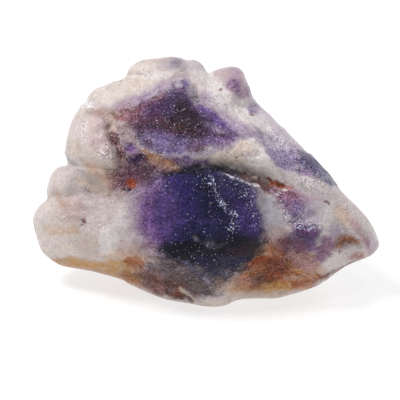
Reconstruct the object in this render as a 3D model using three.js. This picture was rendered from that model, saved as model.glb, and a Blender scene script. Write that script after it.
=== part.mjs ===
// A palm-sized piece of rough amethyst: one solid, purple quartz grown together with milky quartz.
// Millimetres, +Z up. The stone lies on a small flat face, and the origin is a point of that face.
//
// The form is drawn on a plane that leans back from the viewer: u runs to the right, v runs up and
// w comes out towards the viewer. Every direction from the middle gives one point of the surface:
// the outline gives its reach in u and v, a set of broken faces gives its height in w, and ridges,
// grooves, lumps and chipped hollows are added to that height.

import * as THREE from 'three';
import { mergeVertices } from 'three/addons/utils/BufferGeometryUtils.js';

// Driving dimensions, in millimetres unless the name says otherwise
const LEAN_DEGREES = 35;
const FRONT_DEPTH = 18.5;
const BACK_DEPTH = 19.0;
const MIDDLE_HEIGHT = 20.4;
const FOOT_CENTRE = { x: 3, y: -6 };
const CELLS = { across: 44, up: 33, deep: 12 };

// How the rim closes, which changes around it: a power of 2 is an ellipse, a higher one is squarer
const RIM_POWER = { mean: 3, swing: 0.8, swingTurn: -0.6, ripple: 0.5 };
// The rim's height in w: a mean, and waves that go once, twice and three times around it
const RIM_HEIGHT = { mean: -1, once: 1.2, onceTurn: 0.6, twice: 1, thrice: 0.5 };
// The relief reaches its full height at a depth of one part in this of the whole
const RIM_FADE = 1.6;
// Rounding where two broken faces meet
const FACE_BLEND = 1.1;
const LEAST_DEPTH = 2;
// Rounding along a ridge's or groove's line, and how softly its segments and its two sides meet
const CREASE_ROUNDING = 0.35;
const SEGMENT_BLEND = 0.05;
const SIDE_BLEND = 0.5;
// How steeply a lump's sides rise
const LUMP_POWER = 1.5;

// Sizes and depths of the weathering: swells, chipped hollows, and smaller chips in patches
const SWELL = { size: 8, depth: 0.4, octaves: 3 };
const HOLLOWS = { size: 9, depth: 1.0 };
const CHIPS = { size: 4.2, depth: 0.5 };
const PATCHES = { size: 9, share: 0.5, contrast: 1.1 };
const WARP = { size: 3, reach: 0.8 };
// The squared distance from a hollow's middle, in cells, at which the surface keeps its height
const HOLLOW_LEVEL = 0.25;

// Waves and multiple of the scattered values, and shifts that make one field of noise unlike another
const SCATTER = { waves: [127.1, 311.7, 74.7], multiple: 43758.5453 };
const HOLLOW_SHIFTS = { second: [31, 5, 9], third: [7, 63, 2] };
const WARP_SHIFTS = [5, 25, 45];
const OCTAVE_SHIFT = 17.3;
const PATCH_SHIFT = 71;
const CHIP_SHIFT = 40;

// Grid points nearer than this are one point
const MERGE_DISTANCE = 1e-5;

// The outline as the viewer sees it (u, v), clockwise from the left end of the cap
const OUTLINE = [
  [-14.8, 20.8], [-14.2, 22.3], [-12.8, 23.5], [-11, 24.2], [-8.4, 24.5], [-6, 24.8], [-4, 24.6], [-2.5, 24],
  [-1.2, 24.1], [0.3, 23.3], [1.1, 22.2], [1.7, 21.5], [3, 22], [5, 22.6], [6.4, 22.8], [7.7, 22.5],
  [8.7, 21.6], [9.2, 20.2], [10, 18.4], [10.6, 16.6], [12.6, 14.2], [15.8, 11.2], [17.2, 10], [21, 5.8],
  [22.4, 5], [25.4, 1.5], [28.2, -2.2], [31.6, -5.5], [33.4, -7.6], [34.8, -9.8], [35.7, -12], [35.8, -13.2],
  [35, -14.4], [33.6, -15.4], [29.2, -17.2], [25, -20.2], [22.4, -21.6], [16, -23.5], [12.4, -23.7],
  [9, -23.8], [7, -24.2], [5.4, -24.9], [3.2, -25.3], [0.8, -25.2], [-5.2, -24.2], [-8.4, -23.4], [-14, -20.9],
  [-15.8, -19.9], [-21.6, -18.3], [-27.2, -17.3], [-29.2, -16.4], [-30.8, -15.2], [-32, -13.6], [-33.4, -8.8],
  [-33.2, -6.8],
  [-32.2, -5.2], [-30.7, -3.8], [-30.7, -2], [-30.2, 0], [-29.4, 1.8], [-28.2, 2.7], [-26.6, 3.1], [-26.9, 4.8],
  [-27.1, 5.8], [-26.1, 10.6], [-24.2, 14.4], [-22.8, 15.8], [-22.2, 17], [-20.8, 18.3], [-18.8, 19.1],
  [-15.4, 20.3],
];
const OUTLINE_STEPS_PER_POINT = 12;

// Broken faces: a point on the face (u, v), the height there, the rise per mm to the right and upwards
const FRONT_FACES = {
  dark: { at: [-3, -5], height: 16.6, rise: [0.1, 0.06] },
  darkRight: { at: [8, -4], height: 16.6, rise: [-0.3, -0.12] },
  belly: { at: [-1, -18], height: 12.6, rise: [0.02, 0.95] },
  bellyLeft: { at: [-12, -18], height: 11.5, rise: [0.22, 0.75] },
  stained: { at: [14, -18], height: 10.6, rise: [-0.18, 0.75] },
  right: { at: [22, -8], height: 12.6, rise: [-0.55, 0] },
  slanting: { at: [14, 8], height: 11, rise: [-0.75, -0.8] },
  upper: { at: [-2, 12], height: 12.6, rise: [0.02, -0.52] },
  upperLeft: { at: [-3.4, 20], height: 8.4, rise: [0.24, -0.97] },
  whiteBand: { at: [8.4, 7.6], height: 15.1, rise: [-0.3, -0.83] },
  milky: { at: [-20, -8], height: 13, rise: [0.36, -0.02] },
  leftLobe: { at: [-29, -10], height: 8.6, rise: [0.55, 0.05] },
};
const BACK_FACES = {
  middle: { at: [2, 1], height: 18, rise: [0.16, -0.12] },
  leftOfMiddle: { at: [-9, 2], height: 16.4, rise: [0.34, 0.08] },
  upper: { at: [-8, 14], height: 13.4, rise: [0.16, -0.95] },
  upperSlant: { at: [8, 12], height: 13, rise: [-0.42, -0.7] },
  leftEnd: { at: [-22, 4], height: 11, rise: [0.75, -0.3] },
  leftFoot: { at: [-20, -11], height: 12, rise: [0.4, 0.55] },
  right: { at: [16, -2], height: 14, rise: [-0.62, -0.1] },
  rightEnd: { at: [26, -6], height: 8.6, rise: [-1, 0.25] },
  lower: { at: [2, -15], height: 15, rise: [-0.06, 0.8] },
};

// Ridges and grooves (heights below zero): points (u, v, height), and how far each falls away to the
// left and to the right of its direction
const FRONT_CREASES = {
  mainGroove: {
    points: [
      [-11, 2.2, 0], [-7, 2.7, -1.2], [-2, 2.9, -1.6], [4, 2.8, -2.6], [8, 2, -3.4], [12.4, 0.2, -2.8],
      [15, -0.8, -1.6], [18, -1.6, 0],
    ],
    left: 1.7,
    right: 1,
  },
  brownGroove: {
    points: [
      [-18.9, 12.6, 0], [-18.2, 10, -1.6], [-17, 6.8, -2.4], [-15.8, 3.8, -2.2], [-14.6, 0.8, -1.8],
      [-13.4, -2.4, 0],
    ],
    left: 1.4,
    right: 1.4,
  },
  knobFootGroove: {
    points: [[-26.8, 3.6, -2], [-24, 1.4, -1.6], [-21.6, -1, -1.5], [-19, -2.4, -1.2], [-15, -3.2, 0]],
    left: 1.2,
    right: 2.2,
  },
  capGroove: {
    points: [[-15.6, 20, -1.8], [-12, 20.6, -1.2], [-9, 21, -0.5], [-5, 20.8, 0]],
    left: 0.9,
    right: 1.6,
  },
  topKnobGroove: {
    points: [[1.6, 21.8, -2.2], [4, 18.8, -1.8], [7, 15.4, -1.2], [10, 12.6, 0]],
    left: 0.8,
    right: 1,
  },
  leftFold: {
    points: [[-30.9, -3.6, -2], [-28.8, -3, -1.5], [-27.4, -4.8, -0.9], [-26.6, -8, 0]],
    left: 0.9,
    right: 1.2,
  },
  redGroove: {
    points: [[25.6, -13.8, 0], [27.6, -12.6, -1.2], [29, -11.6, -1.4], [31.2, -12.4, -1], [32.6, -14.2, 0]],
    left: 0.8,
    right: 1.2,
  },
  valley: {
    points: [[14.2, -7, 0], [13.4, -11, -0.9], [11.2, -15, -1.1], [7.6, -19, -0.8], [4.6, -23, 0]],
    left: 2.2,
    right: 1.6,
  },
  noduleValley: {
    points: [[14.6, -6.6, -0.6], [17.2, -8.2, -1], [21, -6.4, -0.8], [24.4, -5.6, 0]],
    left: 0.8,
    right: 0.8,
  },
  lastNoduleValley: {
    points: [[19.4, -14.6, 0], [22, -13.2, -0.8], [23.6, -11.4, -0.8], [25.8, -9.8, 0]],
    left: 0.7,
    right: 0.7,
  },
  upperCrest: {
    points: [
      [-15.2, 13.6, 0], [-13.6, 9.6, 0.9], [-11.4, 6.8, 1.2], [-8, 5.2, 1.3], [-3, 4.7, 1], [2, 4.6, 0.8],
      [5.6, 5.2, 0],
    ],
    left: 3,
    right: 0.9,
  },
  darkEdge: {
    points: [[1.6, 1.6, 0], [4.4, 1.2, 0.7], [8, 0, 1], [11, -1.2, 0.9], [13, -3.6, 0]],
    left: 0.7,
    right: 3,
  },
  darkRidge: {
    points: [[1.6, 1.4, 0.2], [3, -2.2, 0.6], [4.8, -5, 0.5], [7.4, -6.8, 0]],
    left: 1.6,
    right: 1.6,
  },
  whiteCrest: {
    points: [[-3, 21.4, 0], [0.6, 19.4, 0.8], [5, 15.4, 1], [8.8, 11.4, 1.1], [11.2, 8, 0.3]],
    left: 2.4,
    right: 2.6,
  },
  pinkCrest: {
    points: [
      [4.6, 6.2, 0], [8.4, 8.2, 1.2], [11.6, 7, 2.2], [13.6, 4, 2.8], [16.6, 1.2, 2.2], [20, -0.6, 1.4],
      [24.6, -2.6, 0],
    ],
    left: 0.8,
    right: 4.5,
  },
  tipEdge: {
    points: [[26.4, -5.2, 0], [28.2, -7.6, 0.9], [29.6, -9.6, 1], [30.8, -12, 0]],
    left: 1.8,
    right: 0.7,
  },
  lilacEdge: {
    points: [[18, 8.6, 0], [20.4, 4.8, 0.8], [25, 0.4, 0.9], [30, -5.4, 0.4]],
    left: 0.8,
    right: 2,
  },
};
const BACK_CREASES = {
  groove: {
    points: [[-15, 15, 0], [-9, 9, -1.6], [-9.6, 1, -1.8], [-5, -8, 0]],
    left: 1.8,
    right: 2.6,
  },
  crest: {
    points: [[-4, 12, 0], [4, 7, 1.8], [14, 4, 1.6], [22, -3, 0]],
    left: 3.6,
    right: 1.8,
  },
};

// Round lumps: centre (u, v), half width, half height, turn in degrees, how far each stands out
const FRONT_LUMPS = {
  leftKnob: { at: [-21.8, 7.8], half: [7.4, 8.8], turn: 8, out: 4.2 },
  knobTop: { at: [-20.2, 12.8], half: [4.6, 3.6], turn: 20, out: 1.4 },
  smallKnob: { at: [-18.4, 4.8], half: [3.2, 2.8], turn: 30, out: 1 },
  cap: { at: [-8, 23.4], half: [9, 4], turn: 3, out: 2.6 },
  topKnob: { at: [6.8, 19], half: [4.6, 4.6], turn: -30, out: 3.8 },
  upperNodule: { at: [18.4, -4.6], half: [4.2, 3.6], turn: -30, out: 1.6 },
  lowerNodule: { at: [21.2, -10.4], half: [4.6, 3.6], turn: -20, out: 1.9 },
  lastNodule: { at: [25.2, -13.8], half: [3.2, 3.6], turn: 20, out: 1.4 },
  tip: { at: [32.8, -10.5], half: [4.4, 7.5], turn: 30, out: 2.4 },
  leftLobe: { at: [-29.8, -9.6], half: [6, 8.2], turn: 0, out: 2 },
  upperLeftLobe: { at: [-28.6, -0.2], half: [4.2, 4.6], turn: 0, out: 2.2 },
  whiteSwell: { at: [-18, -13], half: [7.5, 4.6], turn: 10, out: 1.2 },
  stainedSwell: { at: [20, -18.4], half: [7, 3.4], turn: 22, out: 1 },
};
const BACK_LUMPS = {
  knob: { at: [-17, -3], half: [8, 6.5], turn: 20, out: 2 },
  shoulder: { at: [10, 11], half: [7.5, 5], turn: -35, out: 1.8 },
};

// The outline's reach from the middle at any angle

function outlineReach(outline) {
  const corners = outline.map(([u, v]) => new THREE.Vector3(u, v, 0));
  const curve = new THREE.CatmullRomCurve3(corners, true, 'catmullrom', 0.5);
  const count = outline.length * OUTLINE_STEPS_PER_POINT;
  const samples = [];
  for (let k = 0; k < count; k += 1) {
    const point = curve.getPoint(k / count);
    samples.push({ angle: Math.atan2(point.y, point.x), reach: Math.hypot(point.x, point.y) });
  }
  samples.sort((a, b) => a.angle - b.angle);
  samples.unshift({ ...samples.at(-1), angle: samples.at(-1).angle - 2 * Math.PI });
  samples.push({ ...samples[1], angle: samples[1].angle + 2 * Math.PI });
  return (angle) => {
    const next = samples.findIndex((sample) => sample.angle > angle);
    const [before, after] = [samples[next - 1], samples[next]];
    const share = (angle - before.angle) / (after.angle - before.angle);
    return THREE.MathUtils.lerp(before.reach, after.reach, share);
  };
}

// Heights added to the form

function softMinimum(heights) {
  return heights.reduce((low, height) => (low + height - Math.hypot(low - height, FACE_BLEND)) / 2);
}

function faceHeight(faces, deepest, u, v) {
  const heights = Object.values(faces).map(
    ({ at, height, rise }) => height + rise[0] * (u - at[0]) + rise[1] * (v - at[1]),
  );
  return Math.max(softMinimum([deepest, ...heights]), LEAST_DEPTH);
}

// The height falls away exponentially from the nearest point of the line, and the line's own height
// and side are blended between its segments, so that its bends leave no step
function creaseHeight({ points, left, right }, u, v) {
  let nearest = Infinity;
  let total = 0;
  let side = 0;
  let height = 0;
  for (let k = 1; k < points.length; k += 1) {
    const [au, av, aHeight] = points[k - 1];
    const [bu, bv, bHeight] = points[k];
    const [du, dv] = [bu - au, bv - av];
    const along = THREE.MathUtils.clamp(((u - au) * du + (v - av) * dv) / (du * du + dv * dv), 0, 1);
    const [eu, ev] = [u - au - along * du, v - av - along * dv];
    const squared = eu * eu + ev * ev;
    const weight = 1 / (squared + SEGMENT_BLEND) ** 2;
    nearest = Math.min(nearest, squared);
    total += weight;
    side += (weight * (du * ev - dv * eu)) / Math.hypot(du, dv);
    height += weight * (aHeight + (bHeight - aHeight) * along);
  }
  const leftShare = (1 + Math.tanh(side / total / SIDE_BLEND)) / 2;
  const width = right + (left - right) * leftShare;
  const distance = Math.hypot(Math.sqrt(nearest), CREASE_ROUNDING) - CREASE_ROUNDING;
  return (height / total) * Math.exp(-distance / width);
}

function lumpHeight({ at, half, turn, out }, u, v) {
  const angle = THREE.MathUtils.degToRad(turn);
  const [du, dv] = [u - at[0], v - at[1]];
  const across = (du * Math.cos(angle) + dv * Math.sin(angle)) / half[0];
  const up = (dv * Math.cos(angle) - du * Math.sin(angle)) / half[1];
  return out * Math.max(1 - across * across - up * up, 0) ** LUMP_POWER;
}

function reliefHeight(creases, lumps, u, v) {
  let height = 0;
  for (const crease of Object.values(creases)) height += creaseHeight(crease, u, v);
  for (const lump of Object.values(lumps)) height += lumpHeight(lump, u, v);
  return height;
}

// Weathering: smooth noise and scattered chips, the same on every run

function scatter(i, j, k) {
  const [a, b, c] = SCATTER.waves;
  const value = Math.sin(i * a + j * b + k * c) * SCATTER.multiple;
  return value - Math.floor(value);
}

function smoothNoise(x, y, z) {
  const [i, j, k] = [Math.floor(x), Math.floor(y), Math.floor(z)];
  const ease = (t) => t * t * (3 - 2 * t);
  const [a, b, c] = [ease(x - i), ease(y - j), ease(z - k)];
  let sum = 0;
  for (const di of [0, 1]) {
    for (const dj of [0, 1]) {
      for (const dk of [0, 1]) {
        const weight = (di ? a : 1 - a) * (dj ? b : 1 - b) * (dk ? c : 1 - c);
        sum += weight * scatter(i + di, j + dj, k + dk);
      }
    }
  }
  return 2 * sum - 1;
}

function noiseAt({ x, y, z }, size, shift) {
  return smoothNoise(x / size + shift, y / size + shift, z / size + shift);
}

function swells({ x, y, z }) {
  let sum = 0;
  for (let octave = 0; octave < SWELL.octaves; octave += 1) {
    const finer = 2 ** octave;
    const shift = OCTAVE_SHIFT * octave;
    const scale = finer / SWELL.size;
    sum += smoothNoise(x * scale + shift, y * scale + shift, z * scale + shift) / finer;
  }
  return sum;
}

// Squared distance to the nearest of points scattered one to a cell: hollows with sharp ridges between
function hollows(x, y, z) {
  const cell = [Math.floor(x), Math.floor(y), Math.floor(z)];
  const around = [-1, 0, 1];
  const [[ai, aj, ak], [bi, bj, bk]] = [HOLLOW_SHIFTS.second, HOLLOW_SHIFTS.third];
  let nearest = Infinity;
  for (const di of around) {
    for (const dj of around) {
      for (const dk of around) {
        const [i, j, k] = [cell[0] + di, cell[1] + dj, cell[2] + dk];
        const dx = i + scatter(i, j, k) - x;
        const dy = j + scatter(i + ai, j + aj, k + ak) - y;
        const dz = k + scatter(i + bi, j + bj, k + bk) - z;
        nearest = Math.min(nearest, dx * dx + dy * dy + dz * dz);
      }
    }
  }
  return nearest - HOLLOW_LEVEL;
}

function weatherDepth(point) {
  const [wx, wy, wz] = point.toArray().map(
    (place, axis) => place + WARP.reach * noiseAt(point, WARP.size, WARP_SHIFTS[axis]),
  );
  const patch = PATCHES.share + PATCHES.contrast * noiseAt(point, PATCHES.size, PATCH_SHIFT);
  const broad = hollows(wx / HOLLOWS.size, wy / HOLLOWS.size, wz / HOLLOWS.size);
  const [cx, cy, cz] = [wx, wy, wz].map((place) => (place + CHIP_SHIFT) / CHIPS.size);
  const small = hollows(cx, cy, cz);
  return (
    SWELL.depth * swells(point) +
    HOLLOWS.depth * broad +
    CHIPS.depth * THREE.MathUtils.clamp(patch, 0, 1) * small
  );
}

// One point of the surface for each direction from the middle

const reachAt = outlineReach(OUTLINE);

function rimPower(angle) {
  const { mean, swing, swingTurn, ripple } = RIM_POWER;
  return mean + swing * Math.cos(angle + swingTurn) + ripple * Math.sin(3 * angle);
}

function rimHeight(angle) {
  const { mean, once, onceTurn, twice, thrice } = RIM_HEIGHT;
  return (
    mean + once * Math.cos(angle + onceTurn) + twice * Math.cos(2 * angle) + thrice * Math.sin(3 * angle)
  );
}

function surfacePoint(direction) {
  const angle = Math.atan2(direction.y, direction.x);
  const flat = Math.hypot(direction.x, direction.y);
  const power = rimPower(angle);
  const stretch = (flat ** power + Math.abs(direction.z) ** power) ** (-1 / power);
  const share = flat * stretch;
  const depthShare = Math.abs(direction.z) * stretch;
  const reach = reachAt(angle);
  const u = share * reach * Math.cos(angle);
  const v = share * reach * Math.sin(angle);
  const awayFromRim = THREE.MathUtils.smoothstep(depthShare * RIM_FADE, 0, 1);
  const isFront = direction.z > 0;
  const body = isFront
    ? depthShare * faceHeight(FRONT_FACES, FRONT_DEPTH, u, v)
    : -depthShare * faceHeight(BACK_FACES, BACK_DEPTH, u, v);
  const relief = isFront
    ? awayFromRim * reliefHeight(FRONT_CREASES, FRONT_LUMPS, u, v)
    : -awayFromRim * reliefHeight(BACK_CREASES, BACK_LUMPS, u, v);
  const point = new THREE.Vector3(u, v, rimHeight(angle) * share ** 3 + body + relief);
  const outward = point.clone().normalize();
  return point.addScaledVector(outward, weatherDepth(point) * awayFromRim);
}

// Leans the form back, flattens what reaches below the foot, and sets the foot on Z = 0
function stand(point) {
  const lean = THREE.MathUtils.degToRad(LEAN_DEGREES);
  const stood = new THREE.Vector3(
    point.x,
    point.y * Math.sin(lean) - point.z * Math.cos(lean),
    point.y * Math.cos(lean) + point.z * Math.sin(lean),
  );
  if (stood.z < -MIDDLE_HEIGHT) stood.multiplyScalar(-MIDDLE_HEIGHT / stood.z);
  return stood.add(new THREE.Vector3(-FOOT_CENTRE.x, -FOOT_CENTRE.y, MIDDLE_HEIGHT));
}

// The grid of directions is a box's, with its cells spread evenly over a sphere
function gridDirection(x, y, z) {
  const spread = (t) => Math.tan((t * Math.PI) / 4);
  return new THREE.Vector3(spread(x), spread(y), spread(z)).normalize();
}

// Each cell is folded along the diagonal that lies nearer the surface
function stoneGeometry() {
  const box = new THREE.BoxGeometry(2, 2, 2, CELLS.across, CELLS.up, CELLS.deep);
  box.deleteAttribute('normal');
  box.deleteAttribute('uv');
  const grid = mergeVertices(box, MERGE_DISTANCE);
  const places = grid.getAttribute('position');
  const spots = [];
  for (let k = 0; k < places.count; k += 1) spots.push(new THREE.Vector3().fromBufferAttribute(places, k));
  const points = spots.map(({ x, y, z }) => stand(surfacePoint(gridDirection(x, y, z))));
  const corners = grid.getIndex().array;
  const triangles = [];
  for (let k = 0; k < corners.length; k += 6) {
    const [a, b, c, d] = [corners[k], corners[k + 1], corners[k + 4], corners[k + 2]];
    const middle = spots[a].clone().add(spots[c]).divideScalar(2);
    const target = stand(surfacePoint(gridDirection(middle.x, middle.y, middle.z)));
    const missBy = (p, q) => points[p].clone().add(points[q]).divideScalar(2).distanceTo(target);
    if (missBy(a, c) < missBy(b, d)) triangles.push(a, b, c, a, c, d);
    else triangles.push(a, b, d, b, c, d);
  }
  const geometry = new THREE.BufferGeometry();
  geometry.setAttribute('position', new THREE.Float32BufferAttribute(points.flatMap((p) => p.toArray()), 3));
  geometry.setIndex(triangles);
  geometry.computeVertexNormals();
  return geometry;
}

const amethyst = new THREE.MeshStandardMaterial({ color: 0x7b638c, roughness: 0.42, metalness: 0 });
const stone = new THREE.Mesh(stoneGeometry(), amethyst);
stone.name = 'amethyst_stone';

const part = new THREE.Group();
part.add(stone);

export default part;
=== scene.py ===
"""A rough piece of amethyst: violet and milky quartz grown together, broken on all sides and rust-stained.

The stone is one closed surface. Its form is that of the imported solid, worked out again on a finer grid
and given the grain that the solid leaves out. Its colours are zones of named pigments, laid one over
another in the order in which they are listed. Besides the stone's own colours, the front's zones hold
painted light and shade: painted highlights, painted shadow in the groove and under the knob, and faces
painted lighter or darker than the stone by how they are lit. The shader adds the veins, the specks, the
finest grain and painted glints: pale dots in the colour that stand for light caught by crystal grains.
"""
import math

import bpy
import numpy as np
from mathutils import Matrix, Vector


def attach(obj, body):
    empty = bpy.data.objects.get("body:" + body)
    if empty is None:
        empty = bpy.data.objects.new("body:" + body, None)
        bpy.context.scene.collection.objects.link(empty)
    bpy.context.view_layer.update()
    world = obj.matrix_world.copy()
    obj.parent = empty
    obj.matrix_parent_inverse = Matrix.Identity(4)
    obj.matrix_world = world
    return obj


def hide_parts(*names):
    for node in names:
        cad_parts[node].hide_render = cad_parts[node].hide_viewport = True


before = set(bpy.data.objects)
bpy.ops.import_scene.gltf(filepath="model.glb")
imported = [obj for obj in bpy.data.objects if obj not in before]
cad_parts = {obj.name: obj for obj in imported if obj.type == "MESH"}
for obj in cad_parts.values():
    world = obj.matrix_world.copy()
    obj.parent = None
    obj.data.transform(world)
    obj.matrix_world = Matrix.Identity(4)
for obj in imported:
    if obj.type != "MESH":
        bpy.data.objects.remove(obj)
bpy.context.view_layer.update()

# Form, in millimetres on the leaning plane: u right, v up, w towards the viewer
MILLIMETRE = 0.001
LEAN_DEGREES = 35
FRONT_DEPTH = 18.5
BACK_DEPTH = 19.0
MIDDLE_HEIGHT = 20.4
FOOT_CENTRE = (3.0, -6.0)
CELLS = (200, 156, 46)
MERGE_DIGITS = 7
RIM_POWER = {"mean": 3.0, "swing": 0.8, "turn": 0.6, "ripple": 0.5}
RIM_HEIGHT = {"mean": -1.0, "once": 1.2, "turn": 0.6, "twice": 1.0, "thrice": 0.5}
RIM_FADE = 1.6
FACE_BLEND = 1.1
LEAST_DEPTH = 2.0
CREASE_ROUNDING = 0.35
SEGMENT_BLEND = 0.05
SIDE_BLEND = 0.5
LUMP_POWER = 1.5
SWELL_SIZE, SWELL_DEPTH, SWELL_OCTAVES = 8.0, 0.4, 3
HOLLOW_SIZE, HOLLOW_DEPTH, HOLLOW_LEVEL = 9.0, 1.0, 0.25
CHIP_SIZE, CHIP_DEPTH, CHIP_SHIFT = 4.2, 0.5, 40
PATCH_SIZE, PATCH_SHARE, PATCH_CONTRAST, PATCH_SHIFT = 9.0, 0.5, 1.1, 71
WARP_SIZE, WARP_REACH = 3.0, 0.8

# What sets one field of noise apart from the next
SCATTER = (127.1, 311.7, 74.7, 43758.5453)
OCTAVE_SHIFT = 17.3
HOLLOW_SHIFTS = ((0, 0, 0), (31, 5, 9), (7, 63, 2))
WARP_SHIFTS = (5, 25, 45)

OUTLINE = [
    (-14.8, 20.8), (-14.2, 22.3), (-12.8, 23.5), (-11, 24.2), (-8.4, 24.5), (-6, 24.8), (-4, 24.6),
    (-2.5, 24), (-1.2, 24.1), (0.3, 23.3), (1.1, 22.2), (1.7, 21.5), (3, 22), (5, 22.6), (6.4, 22.8),
    (7.7, 22.5), (8.7, 21.6), (9.2, 20.2), (10, 18.4), (10.6, 16.6), (12.6, 14.2), (15.8, 11.2), (17.2, 10),
    (21, 5.8), (22.4, 5), (25.4, 1.5), (28.2, -2.2), (31.6, -5.5), (33.4, -7.6), (34.8, -9.8), (35.7, -12),
    (35.8, -13.2), (35, -14.4), (33.6, -15.4), (29.2, -17.2), (25, -20.2), (22.4, -21.6), (16, -23.5),
    (12.4, -23.7), (9, -23.8), (7, -24.2), (5.4, -24.9), (3.2, -25.3), (0.8, -25.2), (-5.2, -24.2),
    (-8.4, -23.4), (-14, -20.9), (-15.8, -19.9), (-21.6, -18.3), (-27.2, -17.3), (-29.2, -16.4),
    (-30.8, -15.2), (-32, -13.6), (-33.4, -8.8), (-33.2, -6.8), (-32.2, -5.2), (-30.7, -3.8), (-30.7, -2),
    (-30.2, 0), (-29.4, 1.8), (-28.2, 2.7), (-26.6, 3.1), (-26.9, 4.8), (-27.1, 5.8), (-26.1, 10.6),
    (-24.2, 14.4), (-22.8, 15.8), (-22.2, 17), (-20.8, 18.3), (-18.8, 19.1), (-15.4, 20.3),
]
OUTLINE_STEPS_PER_POINT = 12

# Grain, which the solid leaves out
GRAIN_SIZE, GRAIN_DEPTH, GRAIN_OCTAVES, GRAIN_SHIFT = 2.2, 0.22, 4, 9
PIT_SIZE, PIT_DEPTH, PIT_WANDER = 1.8, 0.3, 0.4
PITTED_SIZE, PITTED_SHIFT, PITTED_RANGE = 5, 13, (-0.4, 0.6)

# How the edges of the colour zones wander, and the size of the mottling inside them
EDGE_WARP_SIZE, EDGE_WARP_REACH = 3.2, 0.15
EDGE_FINE_SIZE, EDGE_FINE_REACH = 0.9, 0.25
EDGE_SIZE, EDGE_SHIFTS, RAGGED_REACH = 1.4, (3, 33, 63), 0.4
MOTTLE_SIZE, MOTTLE_SHIFTS, MOTTLE_RANGE = 1.5, (13, 43, 73, 103), (-0.5, 0.8)
PAINT_OCTAVES = 4
SOFT_SHARE = 0.8

# Shares of the depth between which the back's paint takes over, and the painted glints set in
BACK_RANGE = (0.1, 0.6)
PAINTED_GLINT_RANGE = (0.0, 0.4)

# The eye's weights for red, green and blue, and the brightness at which quartz is all dark and all milky
EYE = (0.2126, 0.7152, 0.0722)
DARK_RANGE = (0.05, 0.4)

# Broken faces: a point on the face (u, v), the height there, the rise per mm to the right and upwards
FRONT_FACES = {
    "dark": ((-3, -5), 16.6, (0.1, 0.06)),
    "dark right": ((8, -4), 16.6, (-0.3, -0.12)),
    "belly": ((-1, -18), 12.6, (0.02, 0.95)),
    "belly left": ((-12, -18), 11.5, (0.22, 0.75)),
    "stained": ((14, -18), 10.6, (-0.18, 0.75)),
    "right": ((22, -8), 12.6, (-0.55, 0)),
    "slanting": ((14, 8), 11, (-0.75, -0.8)),
    "upper": ((-2, 12), 12.6, (0.02, -0.52)),
    "upper left": ((-3.4, 20), 8.4, (0.24, -0.97)),
    "white band": ((8.4, 7.6), 15.1, (-0.3, -0.83)),
    "milky": ((-20, -8), 13, (0.36, -0.02)),
    "left lobe": ((-29, -10), 8.6, (0.55, 0.05)),
}
BACK_FACES = {
    "middle": ((2, 1), 18, (0.16, -0.12)),
    "left of middle": ((-9, 2), 16.4, (0.34, 0.08)),
    "upper": ((-8, 14), 13.4, (0.16, -0.95)),
    "upper slant": ((8, 12), 13, (-0.42, -0.7)),
    "left end": ((-22, 4), 11, (0.75, -0.3)),
    "left foot": ((-20, -11), 12, (0.4, 0.55)),
    "right": ((16, -2), 14, (-0.62, -0.1)),
    "right end": ((26, -6), 8.6, (-1, 0.25)),
    "lower": ((2, -15), 15, (-0.06, 0.8)),
}

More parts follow.
